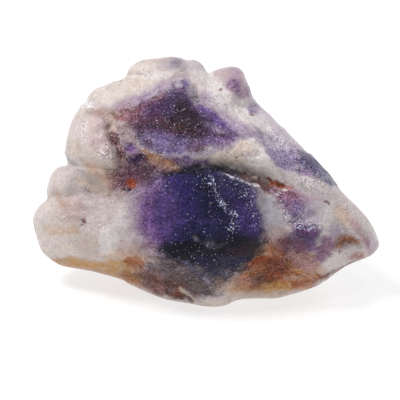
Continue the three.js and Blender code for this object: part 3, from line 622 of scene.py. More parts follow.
    stroke("beige", [(-5, -20.9), (-3.4, -22.1), (-2.2, -23), (-1.2, -24)], 0.2, 0.9, 0.25),
    patch("blue grey", (2.7, -13), (1.6, 0.6), -8, 0.35, 0.5, 0.5),
    patch("ash", (-0.8, -11.6), (0.5, 0.4), 0, 0.6, 0.3, 0.5),
    patch("ash", (4.9, -18.6), (1, 0.7), 20, 0.5, 0.5, 0.3),
    patch("orange brown", (-13.2, -16.3), (1.9, 1.1), -12, 1, 0.5),
    patch("orange rust", (-12.8, -16.6), (0.9, 0.6), -20, 0.6, 0.4, 0.4),
    stroke("orange brown", [(-12.6, -16.6), (-11.4, -17.8)], 0.35, 0.85, 0.4, 0.3),
    # Grey rim to the right of the dark face
    stroke("grey", [(11.8, -3.6), (13, -6), (13.6, -9.4), (13.8, -11.4)], 0.5, 0.75, 0.8, 0.3),
    # Cream face at the upper left, and the cap
    region("cream", [(-23.6, 16.8), (-21.6, 19.8), (-16, 21.8), (-14.6, 23.8), (-8.6, 25.8), (-0.6, 25.8),
        (-2.6, 21.2), (-6, 20.4), (-9.6, 18.6), (-13.6, 16.4), (-17.6, 15), (-20.6, 16)], 0.9),
    stroke("beige", [(-14.6, 17.8), (-12.6, 19.2), (-11, 20.4)], 0.5, 0.4, 0.7, 0.3),
    patch("brown", (-17.8, 13), (3.2, 0.9), -20, 0.95, 0.7, 0.3),
    stroke("orchid", [(-16.4, 14.7), (-12, 16.7), (-8.4, 18.5), (-3.4, 20.5)], 1.25, 0.3, 0.8, 0.3),
    stroke("lilac", [(-15.9, 14.2), (-12.9, 15.6), (-9.9, 16.9), (-7.3, 18.4)], 0.85, 0.8, 0.8, 0.4),
    stroke("mauve", [(-13, 16.3), (-10, 17.4), (-7.4, 19)], 0.3, 0.5, 0.6, 0.5),
    stroke("white quartz", [(-13.2, 20.9), (-9.2, 20.9), (-6.2, 20.8)], 0.5, 0.9, 0.5, 0.3),
    patch("blue violet", (-5.6, 23.2), (3, 1.4), 0, 0.5, 0.8, 0.3),
    patch("slate violet", (-4.9, 23.3), (0.9, 0.9), 0, 0.55, 0.8, 0.4),
    patch("pale lilac", (-1.4, 22.8), (2, 1.2), -20, 0.7, 0.7, 0.4),
    patch("beige", (-9.4, 23.8), (3, 0.6), 3, 0.5, 0.5, 0.4),
    # Upper purple face
    region("violet", [(-5.6, 19.1), (-2.8, 19.3), (-1.6, 16.7), (0, 14.9), (2, 14.5), (4.2, 12.5),
        (6.2, 10.7), (8, 9.5), (9, 8.5), (5, 7.3), (0, 5.9), (-5, 5.3), (-8.4, 5.7), (-11, 6.5),
        (-12.2, 7.7), (-13.4, 9.3), (-14.2, 10.7), (-14.6, 12.1), (-14.6, 13.5), (-13, 14.5), (-11, 15.5),
        (-8.4, 16.7), (-6.6, 18)], 0.95, 1.6, 0.1),
    patch("orange rust", (-15.1, 13.7), (1.9, 1.5), 10, 0.55, 1.7, 0.4),
    patch("red brown", (-13.5, 12), (2.6, 2), -10, 0.85, 1.1, 0.4),
    patch("rose", (-15, 12.4), (1.6, 0.6), 15, 0.5, 0.8, 0.6),
    patch("magenta violet", (-9.7, 14.8), (2.4, 1.8), 20, 0.7, 0.9, 0.3),
    patch("red brown", (-10.2, 15.2), (2.8, 1), 28, 0.7, 0.6, 0.5),
    patch("rose", (-8.3, 16.3), (1.4, 0.4), 32, 0.5, 0.5, 0.6),
    region("dark violet", [(-5.9, 17.9), (-3.3, 18.5), (-1.9, 15.9), (-0.5, 14.1), (1.5, 12.3), (2.7, 10.1),
        (0.9, 8.5), (-4.1, 8.7), (-9.1, 9.5), (-11.9, 10.3), (-11.5, 12.5), (-9.7, 14.7), (-7.5, 16.3)],
        0.85, 1.8, 0.15),
    region("umber black", [(-4.6, 16), (-2.8, 15.4), (-1.2, 13.2), (0.4, 12), (1.2, 10.2), (-1.6, 9.4),
        (-4.6, 9.8), (-8, 10.2), (-7.6, 11.8), (-5.6, 12.6), (-5.2, 14.4)], 1, 1.3),
    region("dark brown", [(-11.6, 11.7), (-7.8, 11.9), (-4.6, 11.1), (-1.2, 10.1), (-0.6, 9.1), (-4.2, 8.9),
        (-8.8, 9.7), (-12, 10.3)], 0.55, 0.8, 0.5),
    patch("red brown", (-9.4, 12.2), (2.2, 1), -4, 0.25, 0.7, 0.5),
    patch("mauve", (-3.5, 18.5), (1.1, 0.6), 60, 0.4, 0.6, 0.5),
    stroke("mauve", [(0.7, 15.1), (2.3, 13.9), (3.7, 12.5), (5.3, 11.1), (8.1, 9.7)], 1.4, 0.4, 1, 0.3),
    stroke("bright violet", [(0.1, 14.7), (1.7, 13.5), (3.1, 12.1), (4.9, 10.9), (6.7, 9.9)], 0.5, 0.8, 0.6,
        0.35),
    patch("lilac", (3.6, 9.9), (2, 0.4), -25, 0.45, 0.5, 0.4),
    patch("dark plum", (3.4, 8.9), (5.2, 0.5), -3, 0.95, 0.6, 0.3),
    region("blue violet", [(-12.7, 9.2), (-9.7, 9.3), (-5.7, 8.3), (-1.7, 8), (-1.1, 6.2), (-4.7, 5),
        (-8.1, 5.4), (-11.5, 6.8)], 0.75, 0.7, 0.4),
    patch("dark plum", (-10.4, 7.5), (1.6, 1.2), -20, 0.75, 0.7, 0.5),
    stroke("lilac", [(-11.4, 9), (-8.6, 7.6), (-6, 6.8)], 0.2, 0.5, 0.4, 0.5),
    patch("black", (-2.8, 8.4), (2.4, 0.5), 3, 0.6, 0.5, 0.4),
    patch("dark plum", (-0.8, 6.9), (2, 1.1), 0, 0.8, 0.7, 0.3),
    patch("orchid", (4.9, 7.6), (4, 1.2), 12, 0.75, 0.9, 0.4),
    stroke("bright violet", [(-7, 5.2), (-4, 5.3), (0, 5.2), (4, 5.6)], 0.5, 0.5, 0.8),
    stroke("orchid", [(-7.6, 4.3), (-4.6, 4.1), (-2, 4.2)], 0.55, 0.95, 0.5, 0.4),
    patch("dark brown", (-0.2, 6), (2, 0.7), 0, 0.5, 0.6, 0.5),
    patch("white quartz", (-4.2, 18.8), (0.7, 0.6), 0, 0.4, 0.3, 0.3),
    patch("bright violet", (-3, 19.3), (1, 0.5), -20, 0.7, 0.4, 0.4),
    patch("ash", (-1.2, 17), (0.7, 1.5), 10, 0.8, 0.5, 0.4),
    # White band and the top knob
    region("white quartz", [(-1.2, 21.8), (1.4, 22.8), (2.8, 21.8), (5.8, 19.8), (8.8, 16.8), (11.2, 13.8),
        (10.8, 11.4), (8.8, 11.4), (6.2, 13.4), (3.4, 16), (1.2, 17), (0.6, 19.2)], 1, 0.7),
    patch("orchid", (1.5, 16.6), (1.4, 1.4), -30, 0.4, 0.8, 0.3),
    patch("ash", (-1, 17), (0.9, 1.5), 15, 0.85, 0.5, 0.3),
    patch("dark grey", (-1, 16.4), (0.6, 0.8), 15, 0.5, 0.4, 0.4),
    patch("grey", (3.6, 15.4), (2.6, 1.6), -40, 0.7, 0.8, 0.5),
    patch("orchid", (5.1, 12.8), (2, 0.7), -42, 0.25, 0.6, 0.6),
    patch("lilac", (7.4, 10.8), (2.4, 1.2), -40, 0.8, 0.7, 0.4),
    region("rose", [(1.8, 21.9), (5, 23.3), (8.6, 22.7), (10, 18.3), (10.8, 16.7), (9, 15.9), (6, 17.3)],
        0.45, 0.6),
    region("mauve", [(5.4, 20.4), (7, 21), (8.8, 20.4), (9.8, 17.6), (9.4, 15.8), (7.8, 16), (6, 18)], 0.6,
        0.6, 0.3),
    patch("magenta violet", (6.8, 18.6), (2.1, 1), -48, 0.75, 0.8, 0.3),
    patch("bright violet", (6.8, 21.9), (1.5, 1.1), -20, 0.35, 0.6, 0.4),
    patch("mauve", (9.9, 17.6), (0.9, 2), 20, 0.95, 0.5, 0.4),
    patch("pale lilac", (10.8, 15), (1.8, 1.6), -30, 0.85, 0.6, 0.3),
    patch("orchid", (10.7, 14.3), (1.3, 1.1), -30, 0.75, 0.6, 0.4),
    # Slanting face on the upper right
    region("pale lilac", [(10.8, 12.4), (12.2, 14.4), (14.2, 13.2), (18.6, 9), (22.6, 4.8), (26.2, 1.2),
        (29.6, -3.2), (26.2, -2.2), (23.2, -1), (19.8, -0.2), (16.8, 0.6), (14.8, 3), (13.2, 5.8),
        (11.2, 9.2)], 0.95, 0.5),
    patch("white quartz", (12.3, 11), (2.2, 1.8), -40, 0.95, 0.8, 0.3),
    patch("orchid", (11, 8.7), (2.2, 1), -42, 0.6, 0.7, 0.35),
    patch("slate violet", (12.9, 8.9), (2, 0.5), -38, 0.75, 0.6, 0.5),
    region("bright violet", [(12.6, 7.1), (15, 6.1), (17.4, 5.5), (19.4, 3.1), (21.4, -0.1), (19.2, 0.2),
        (16.2, 1.1), (14.2, 3.1)], 0.7, 0.8, 0.3),
    patch("orchid", (19.5, 3.7), (1.8, 0.7), -45, 0.95, 0.6, 0.4),
    patch("orchid", (18.5, 5.7), (1.6, 1.2), -42, 0.45, 0.6, 0.4),
    region("slate violet", [(19.4, 6), (21.4, 6), (25, 2.4), (27.6, -1), (26, -1.4), (23, 0.2), (20.6, 1.2),
        (19.6, 3.4)], 0.9, 0.6, 0.25),
    patch("indigo", (22.7, 3), (1.7, 1), -46, 0.65, 0.7, 0.3),
    patch("blue grey", (25.6, 0.6), (2, 0.9), -46, 0.35, 0.7, 0.4),
    patch("mauve", (21, 1.4), (2, 0.7), -30, 1, 0.6, 0.4),
    # Pink ridge and its cream top
    region("white quartz", [(4.3, 2.7), (7.3, 3.5), (10.9, 4.9), (13.3, 5.1), (14.9, 2.7), (16.9, 0.3),
        (17.7, -1.3), (15.3, -0.5), (12.3, 0.7), (9.3, 1.9), (5.9, 2.3)], 0.95, 0.5, 0.1),
    # Cream that is partly the stone's own and partly painted light, lifted near white on a face in the
    # groove's shade
    region("bright cream", [(3.1, 3.7), (4.7, 4.9), (6.3, 6.1), (8.3, 8.1), (10.3, 7.9), (11.9, 6.1),
        (9.7, 5.5), (7.1, 4.7), (4.7, 3.7)], 0.9, 0.5, 0.1),
    region("milk", [(15.3, 1.9), (18.3, 1.5), (21.3, 0.7), (25.3, -0.7), (28.3, -3.1), (27.3, -4.7),
        (24.3, -3.3), (20.3, -1.7), (17.3, -0.3)], 0.9, 0.5),
    # Painted highlight: a white line along the edge of the pink crest and on along its ridge
    stroke("white quartz", [(10.4, 7.5), (11.9, 5.9), (13, 4), (14.6, 1.8)], 0.4, 0.95, 0.25, 0.1),
    stroke("white quartz", [(14.9, 2.4), (18, 1.3), (21, 0.6), (24, -0.6)], 0.12, 0.8, 0.3, 0.3),
    # Cream that is partly the stone's own and partly painted light, lifted near white on a face in the
    # groove's shade
    stroke("bright cream", [(3.4, 4), (6, 3.9), (8, 3.4)], 1.2, 1, 0.5, 0.1),
    stroke("bright cream", [(4, 5), (6, 5.1), (8.4, 5.7)], 0.5, 0.95, 0.4),
    # Groove, with painted shadow in it, and the stained patch at its left end
    stroke("orchid", [(-5.6, 3.4), (-2.2, 3.5), (1.2, 3.4)], 0.5, 1, 0.5, 0.3),
    # Painted shadow: black along the groove, where the overhanging ridge above shades it
    stroke("black", [(-7, 1.2), (-3, 1.8), (0, 2.1), (4, 2.1), (6.6, 1.5), (8.2, 0.9)], 0.7, 0.9, 0.6, 0.1),
    stroke("dark brown", [(8.8, 0.8), (10.4, 0.2), (12.2, -0.6), (13.4, -1.3)], 0.85, 0.95, 0.6),
    patch("bright cream", (10.9, 0.6), (0.5, 0.2), 20, 0.6, 0.3, 0.3),
    stroke("plum", [(12.6, -1.8), (14, -2.3), (15.4, -2.7)], 0.6, 0.85, 0.5, 0.3),
    stroke("white quartz", [(14.8, -2.9), (15.8, -2.4), (16.8, -2)], 0.2, 0.9, 0.2),
    region("rust", [(13.5, 0.2), (15.5, 0), (17.3, -0.6), (18.7, -1.7), (16.9, -2), (15.1, -1.7),
        (13.7, -0.9)], 1, 0.4, 0.1),
    patch("orange rust", (-9, 3.7), (3.2, 0.9), -15, 0.95, 0.7, 0.4),
    stroke("orange brown", [(-11.3, 5.8), (-9.5, 4.8), (-7.3, 4.1), (-5.5, 3.3)], 0.5, 0.75, 0.5, 0.3),
    stroke("tan", [(-9.5, 4.3), (-7.9, 3.3), (-4.9, 2.5)], 0.8, 0.7, 0.9, 0.4),
    # Painted highlight: the thin bright line along the top edge of the dark face
    stroke("white quartz", [(5, 1.1), (6.6, 0.6), (8.2, -0.1), (9.6, -0.7), (11.6, -1.2)], 0.1, 1, 0.2, 0.1),
    # Left knob, with painted shade below it and painted highlights on it
    patch("warm milk", (-22, 9), (5, 7), 0, 0.7, 1.6),
    patch("yellow ochre", (-20.6, 1.8), (2.4, 1.8), -15, 0.5, 0.8, 0.4),
    stroke("orange rust", [(-23.5, 3.9), (-21.5, 2.5), (-19.5, 0.5), (-17.5, -1.3)], 0.35, 0.3, 0.6, 0.4),
    patch("beige", (-25.3, 6.5), (2, 1.8), 0, 0.95, 0.5, 0.5),
    stroke("brown", [(-21.9, 13.5), (-19.7, 13.5), (-17.9, 12.5), (-17.3, 11.5)], 0.7, 0.45, 0.7, 0.4),
    patch("rose", (-20, 9.2), (2.2, 4.4), 0, 0.25, 0.7, 0.3),
    # Painted shade: grey along the left rim and under the knob
    stroke("grey", [(-26.6, 8), (-26.8, 6), (-26, 4.4), (-24.4, 3), (-23, 1.2), (-21, 0)], 0.5, 0.6, 0.6),
    # Painted highlights: white spots on the left knob
    patch("white quartz", (-22.4, 15), (1.4, 0.9), -15, 0.95, 0.35),
    patch("white quartz", (-23.2, 9.1), (1.1, 1.8), 0, 0.6, 0.6, 0.6),
    # Between the knob and the purple faces
    region("plum", [(-17.4, 11.7), (-14.8, 10.9), (-12.8, 8.3), (-11.6, 6.5), (-11, 4.1), (-14.4, 2.7),
        (-15.8, 4.3), (-16, 6.7), (-17, 8.7)], 0.7, 0.6),
    patch("milk", (-14, 8.4), (0.9, 1.8), 25, 0.35, 0.6, 0.4),
    patch("dark plum", (-12.6, 10.2), (1.2, 1.6), 30, 0.75, 0.6, 0.5),
    patch("orchid", (-13.4, 6.2), (1.4, 1), 15, 1, 0.6, 0.3),
    region("plum", [(-18, 2.1), (-15.6, 3.3), (-12, 3.9), (-8, 2.9), (-6.4, 2.1), (-9, 1.1), (-12, -0.9),
        (-15, -2.7), (-17.4, -1.9), (-18.6, 0.1)], 0.95, 1.6, 0.15),
    patch("plum", (-13.6, 0.2), (3.4, 1.8), 10, 0.8, 0.9, 0.4),
    patch("dark plum", (-13.1, 3.3), (2.6, 0.9), 5, 0.75, 0.7, 0.4),
    region("dark violet", [(-14.5, 5), (-12.3, 5.4), (-10.3, 5), (-10.5, 3.8), (-12.1, 3.2), (-14.3, 3.6)],
        0.95, 0.5, 0.1),
    patch("dark plum", (-11.4, 1.6), (2.6, 1.8), 0, 0.75, 0.8, 0.3),
    patch("tan", (-18, 0.6), (1.4, 1.8), 0, 0.4, 1.2, 0.3),
    patch("bright cream", (-17.1, 3.7), (1, 1.5), 0, 1, 0.7, 0.3),
    stroke("beige", [(-18, 11.8), (-17.6, 10.2)], 1, 0.8, 0.7, 0.3),
    stroke("plum", [(-18, 10.3), (-17.6, 9.1), (-17.1, 7.9)], 0.85, 0.6, 0.7, 0.3),
    stroke("red brown", [(-17.6, 9.1), (-17.1, 7.5), (-16.4, 6.3), (-15.8, 5.3), (-15.5, 3.7)], 0.65, 0.85,
        0.8),
    stroke("dark brown", [(-17, 7.7), (-16.6, 6.5), (-15.7, 4.9)], 0.3, 0.75, 0.5, 0.3),
    patch("orange rust", (-13.4, -0.9), (1.4, 0.9), 10, 1, 0.35, 0.1),
    stroke("black", [(-15.4, -1.9), (-13.8, -2.1)], 0.2, 0.9, 0.3, 0.3),
    # Small spots
    stroke("red brown", [(-23.1, -8.7), (-22.9, -8.2), (-23, -7.7)], 0.35, 1, 0.2, 0),
    patch("dark brown", (-24.4, -9.7), (0.22, 0.25), 0, 0.8, 0.2, 0),
    patch("dark brown", (-17.9, -3), (0.3, 0.2), 0, 0.8, 0.2, 0),
    patch("dark brown", (25.4, -4.6), (0.5, 0.2), -25, 0.9, 0.2, 0),
    patch("black", (27.6, -14.4), (0.3, 0.25), 0, 0.8, 0.2, 0),
    patch("brown", (6.05, 16.3), (0.25, 0.2), 0, 0.9, 0.15, 0),
    patch("brown", (4.1, 18), (0.2, 0.15), 0, 0.8, 0.15, 0),
    patch("brown", (10.35, 13), (0.25, 0.2), 0, 0.8, 0.15, 0),
    patch("brown", (-24.3, 12.5), (0.2, 0.25), 0, 0.8, 0.15, 0),
    patch("red brown", (7.2, 4.5), (0.3, 0.2), 0, 0.8, 0.2, 0),
]
BACK_ZONES = [
    region("lilac", [(-12, 14), (0, 16), (10, 13), (18, 6), (20, -4), (10, -8), (-4, -6), (-12, -2),
        (-15, 6)], 0.9, 2),
    region("violet", [(-9, 12), (0, 14), (9, 11), (15, 4), (15, -3), (6, -5.6), (-4, -4), (-10, 1),
        (-11, 7)], 0.9, 1.2),
    region("indigo", [(-3, 9), (5, 10), (11, 4), (11, -1), (3, -3), (-4, 1)], 0.8, 1.5, 0.3),
    patch("umber black", (4, 4), (4, 2), -20, 0.6, 1.2, 0.4),
    stroke("rust", [(-14, 13), (-9, 8), (-9.6, 1), (-5, -8)], 0.7, 0.7, 0.8, 0.4),
    stroke("tan", [(-15, 11), (-11, 6), (-11, 0), (-7, -8)], 1.2, 0.5, 1, 0.5),
    region("mauve", [(-24, 4), (-17, 8), (-13, 3), (-15, -3), (-22, -4)], 0.7, 1.2, 0.4),
    patch("violet", (-18, 2), (3.4, 2), 20, 0.6, 1, 0.4),
    patch("slate violet", (20, -9), (5, 3), -20, 0.7, 1.2, 0.4),
    patch("mauve", (26, -8), (3, 2.4), 0, 0.6, 1, 0.4),
    region("ash", [(-8, -10), (4, -8.6), (14, -11), (12, -18), (0, -20), (-9, -17)], 0.7, 1.6, 0.4),
    patch("plum", (2, -14), (6, 2.4), 5, 0.6, 1.2, 0.5),
    patch("brown", (10, -17), (5, 2), 10, 0.6, 1.2, 0.5),
    stroke("ochre", [(-26, -14), (-18, -15.6), (-10, -18), (0, -21)], 0.9, 0.6, 1, 0.5),
    stroke("orange rust", [(-16, -16), (-12, -17.2)], 0.6, 0.7, 0.7, 0.5),
    patch("cream", (-22, -8), (5, 3), 0, 0.5, 1.6, 0.3),
    patch("grey", (-20, 12), (4, 2), 20, 0.4, 1.4, 0.3),
    stroke("pale lilac", [(-6, 13), (-1, 8), (3, 2), (4, -5)], 0.3, 0.5, 0.5, 0.5),
    stroke("white quartz", [(9, 12), (12, 6), (13, 0), (11, -7)], 0.2, 0.5, 0.4, 0.5),
    patch("bright violet", (8, 6), (3, 1.6), -50, 0.5, 1, 0.5),
    patch("plum", (-6, 6), (2.4, 4), 15, 0.5, 1, 0.5),
    stroke("rust", [(14, 1), (17, -3), (18, -7)], 0.5, 0.6, 0.6, 0.5),
    stroke("beige", [(16, 6), (20, 1), (25, -3)], 0.8, 0.6, 0.8, 0.4),
    patch("dark plum", (-2, -12), (4, 2), -10, 0.5, 1.2, 0.5),
    stroke("tan", [(6, -9), (10, -13), (16, -15)], 0.5, 0.6, 0.7, 0.5),
    patch("lilac", (-20, -2), (2, 1.4), 10, 0.6, 0.9, 0.4),
    stroke("grey", [(-27, 6), (-24, 1), (-26, -6)], 0.4, 0.5, 0.7, 0.4),
    patch("pale lilac", (-8, 19), (7, 2.4), 8, 0.7, 1.6, 0.4),
    patch("white quartz", (-16, 15), (4, 2.4), 20, 0.6, 1.4, 0.4),
    patch("mauve", (-2, 18.6), (2.6, 1), -20, 0.5, 1, 0.5),
    stroke("tan", [(-18, 12), (-13, 16), (-7, 17.4), (0, 21)], 0.35, 0.6, 0.7, 0.5),
    stroke("ochre", [(-22, 8), (-18, 12)], 0.6, 0.5, 0.8, 0.5),
    stroke("ash", [(-12, 21), (-9, 16), (-9.4, 12)], 0.15, 0.5, 0.4, 0.5),
    stroke("ash", [(4, 20), (8, 15), (14, 11)], 0.2, 0.5, 0.5, 0.5),
    patch("beige", (12, 14), (3, 1.4), -40, 0.7, 1, 0.4),
    patch("grey", (-28, -8), (2.4, 3), 0, 0.5, 1.2, 0.4),
    patch("warm milk", (24, 0), (4, 2), -40, 0.7, 1.2, 0.3),
    patch("rust", (-13, 16), (1.2, 0.3), 30, 0.5, 0.5, 0.5),
]


def cover(zones, ground, shade_of, points):
    """The zones laid over a ground: each fades over a soft, ragged edge and breaks up inside."""
    moved = wander(wander(points, EDGE_WARP_SIZE, EDGE_WARP_REACH), EDGE_FINE_SIZE, EDGE_FINE_REACH)
    u, v = moved[:, 0], moved[:, 1]
    ragged = [layered_noise(points + shift, EDGE_SIZE, PAINT_OCTAVES) for shift in EDGE_SHIFTS]
    mottled = [layered_noise(points + shift, MOTTLE_SIZE, PAINT_OCTAVES) for shift in MOTTLE_SHIFTS]
    laid = np.tile(ground, (len(points), 1))
    for number, (outside, shade, strength, soft, broken) in enumerate(zones):
        edge = ragged[number % len(ragged)] * min(soft, RAGGED_REACH)
        inside = ease(edge - outside(u, v), -soft * SOFT_SHARE, soft * SOFT_SHARE)
        inside *= 1 - broken * ease(mottled[number % len(mottled)], *MOTTLE_RANGE)
        laid += (inside * strength)[:, None] * (shade_of(shade) - laid)
    return laid


def paint(points, depth_share):
    """The pigments of the front and of the back, which meet along the sides."""
    milk = linear(PIGMENTS["milk"])
    front, back = (cover(zones, milk, lambda name: linear(PIGMENTS[name]), points)
                   for zones in (FRONT_ZONES, BACK_ZONES))
    return front + ease(-depth_share, *BACK_RANGE)[:, None] * (back - front)


PAINTED_GLINT_ZONES = [
    # How much of the surface gets painted glints: pale dots in the colour that stand for light caught by
    # grains
    patch(0.06, (-3, -6), (13, 10), 0, 1, 1.5, 0.6),
    patch(0.12, (-4, 11), (12, 8), 0, 1, 2, 0.6),
    patch(0.2, (-13, 13.4), (3, 1.8), 10, 1, 1.2, 0.6),
    patch(0.14, (-6, -1.6), (2.6, 2.6), -40, 1, 1, 0.6),
    patch(0.1, (-2, -18), (12, 5), -10, 1, 1.5, 0.6),
    patch(0.12, (-14, 3), (5, 6), 0, 1, 1.5, 0.6),
    patch(0.42, (19, 3.6), (8.4, 2.6), -45, 1, 1, 0.6),
    patch(0.08, (15, -18), (9, 4), 5, 1, 1.5, 0.6),
    patch(0.4, (18.4, -5.2), (3.4, 2.8), -25, 1, 1, 0.6),
    patch(0.8, (20.8, -8.8), (3.4, 1.2), -12, 1, 0.6, 0.5),
    patch(0.4, (2.6, -0.6), (1.8, 2), -50, 1, 0.8, 0.5),
    stroke(0.75, [(1.8, 0.8), (2.6, -1), (3.4, -3), (4.6, -4.6)], 0.3, 1, 0.5, 0.5),
    stroke(1.1, [(4.4, -4.2), (5.2, -5.6), (7, -6.6)], 0.5, 1, 0.4, 0.3),
    patch(0.7, (6.2, -9.2), (1, 1.5), 0, 1, 0.7, 0.5),
    patch(0.45, (8.6, -2.6), (2.8, 1.2), -30, 1, 1, 0.6),
    stroke(0.6, [(9, -3.4), (10.2, -6.2), (10.8, -9.4)], 0.8, 1, 0.8, 0.6),
    stroke(0.4, [(14, -2), (15, -3.4), (15.8, -5)], 0.3, 1, 0.6, 0.4),
    patch(0.4, (-17, 7), (1.4, 3), 0, 1, 1, 0.5),
    # Painted highlights on the left knob
    patch(0.5, (-23, 9.6), (0.9, 1.8), 0, 1, 0.8, 0.5),
    patch(0.6, (-18.6, 5), (1.5, 0.8), -10, 1, 0.7, 0.4),
    patch(0.7, (-21.8, 14.9), (1.4, 0.7), -15, 1, 0.6, 0.4),
    patch(0.25, (-19, 12.4), (1.6, 1), 0, 1, 0.8, 0.5),
    patch(0.3, (27.4, -14.4), (1.4, 0.8), -20, 1, 0.7, 0.5),
    stroke(0.3, [(5, 5), (7, 5.4), (9, 5.2)], 0.5, 1, 0.7, 0.5),
    # Painted highlight: bright dots along the top edge of the dark face
    stroke(1.2, [(5.4, 0.9), (6.6, 0.6), (8.2, -0.1), (9.4, -0.6)], 0.2, 1, 0.25),
    stroke(0.5, [(9.4, -0.7), (11.6, -1.3), (13, -2)], 0.2, 1, 0.3, 0.4),
    patch(0.12, (29, -9), (4, 6), 35, 1, 1.2, 0.6),
]


# Shader building: sockets that can be used in arithmetic


class Wire:
    """A socket of a node tree. Arithmetic on it adds Math nodes."""

    def __init__(self, tree, socket):
        self.tree = tree
        self.socket = socket

    def math(self, operation, *others):
        return self.tree.arithmetic(operation, self, *others)

    def __add__(self, other):
        return self.math("ADD", other)

    def __sub__(self, other):
        return self.math("SUBTRACT", other)

    def __rsub__(self, other):
        return self.tree.arithmetic("SUBTRACT", other, self)

    def __mul__(self, other):
        return self.math("MULTIPLY", other)

    def __truediv__(self, other):
        return self.math("DIVIDE", other)

    def __pow__(self, other):
        return self.math("POWER", other)

    def __lt__(self, other):
        return self.math("LESS_THAN", other)

    __radd__ = __add__
    __rmul__ = __mul__


class Node:
    """A node that was added to a tree, and its outputs as wires."""

    def __init__(self, tree, node):
        self.tree = tree
        self.node = node

    def out(self, name=0):
        return Wire(self.tree, self.node.outputs[name])


class Tree:
    """A material's node tree, emptied, with one method that adds any node."""

    def __init__(self, material):
        material.use_nodes = True
        self.tree = material.node_tree
        self.tree.nodes.clear()

    def add(self, kind, settings=None, sockets=None):
        """Adds a node: its settings are set first, then its sockets' values or links."""
        node = self.tree.nodes.new("ShaderNode" + kind)
        for name, value in (settings or {}).items():
            setattr(node, name, value)
        for name, value in (sockets or {}).items():
            if isinstance(value, Wire):
                self.tree.links.new(value.socket, node.inputs[name])
            else:
                node.inputs[name].default_value = value
        return Node(self, node)

    def arithmetic(self, operation, *values):
        """A Math node on wires or plain numbers, in their order."""
        return self.add("Math", {"operation": operation}, dict(enumerate(values))).out()

    def between(self, value, low, high):
        """0 below low, 1 above high, and a smooth rise between."""
        return self.add("MapRange", {"interpolation_type": "SMOOTHSTEP"}, {
            "Value": value, "From Min": low, "From Max": high,
        }).out()

    def mix(self, share, first, second, blend="MIX"):
        """Two colours mixed: sockets 6 and 7 are a Mix node's colours, and output 2 its colour."""
        settings = {"data_type": "RGBA", "blend_type": blend}
        return self.add("Mix", settings, {0: share, 6: first, 7: second}).out(2)


def colour(screen_colour):
    """A screen colour as a socket's four linear values."""
    return (*linear(screen_colour), 1.0)


def noise(tree, place, size, detail, roughness):
    """Blender's noise with features of a size in metres, from 0 to 1."""
    sockets = {"Vector": place, "Scale": 1 / size, "Detail": detail, "Roughness": roughness}
    return tree.add("TexNoise", None, sockets).out()


def cells(tree, place, size):
    """Cells of a size in metres: the distance to each one's middle, and a random colour for it."""
    return tree.add("TexVoronoi", None, {"Vector": place, "Scale": 1 / size})


def first_part(tree, voronoi):
    """The first of a cell's three random numbers."""
    return tree.add("SeparateColor", None, {0: voronoi.out("Color")}).out()


# Finish, with sizes in metres. A noise has its size, its detail and its roughness. A shade has the amount on
# milky quartz and how much more there is on dark quartz. An edge has where a spot ends and where it is full
FINE_NOISE, FINE_SHADE, FINE_BUMP, FINE_ROUGHNESS = (0.0004, 2, 0.6), (0.5, 2.6), 0.4, 0.3
CLOUD_NOISE, CLOUD_SHADE = (0.0026, 4, 0.7), (0.5, 1.4)
SALT_SIZE, SALT_SHADE, SALT_IN_GLINTS = 0.00024, (0.1, 0.4), 3
VEIN_NOISE, VEIN_WIDTH, VEIN_CLOUDS = (0.007, 5, 0.6), 0.016, (-0.1, 0.1)
VEIN_STRENGTH, VEIN_COLOUR = 0.45, (150, 128, 120)
SPECK_SIZE, SPECK_RADIUS, SPECK_SHARE = 0.0006, 0.25, 0.03
SPECK_STRENGTH, SPECK_COLOUR = 0.7, (70, 52, 50)
# Painted glints: pale dots, and larger flashes where they crowd, mixed into the base colour as caught light
GLINT_SIZE, GLINT_EDGE, GLINT_SPREAD, GLINT_STRENGTH = 0.00026, (0.55, 0.25), 0.7, 0.9
FLASH_SIZE, FLASH_EDGE, FLASH_LEAST, FLASH_GAIN, FLASH_RISE = 0.00044, (0.5, 0.3), 0.3, 1.2, 0.15
LEAST_GLINT, PAINTED_GLINT_COLOUR = 0.01, (214, 212, 240)
FACET_SIZE, FACET_BUMP, MILKY_BUMP = 0.0006, 0.3, 0.3
DENT_NOISE, DENT_BUMP = (0.0012, 4, 0.65), 1.4
BUMP_STRENGTH, BUMP_DEPTH = 0.8, 0.0006
ROUGHNESS, DARK_ROUGHNESS = 0.16, 0.2
MILKY_GLOSS, DARK_GLOSS = 0.5, 0.12


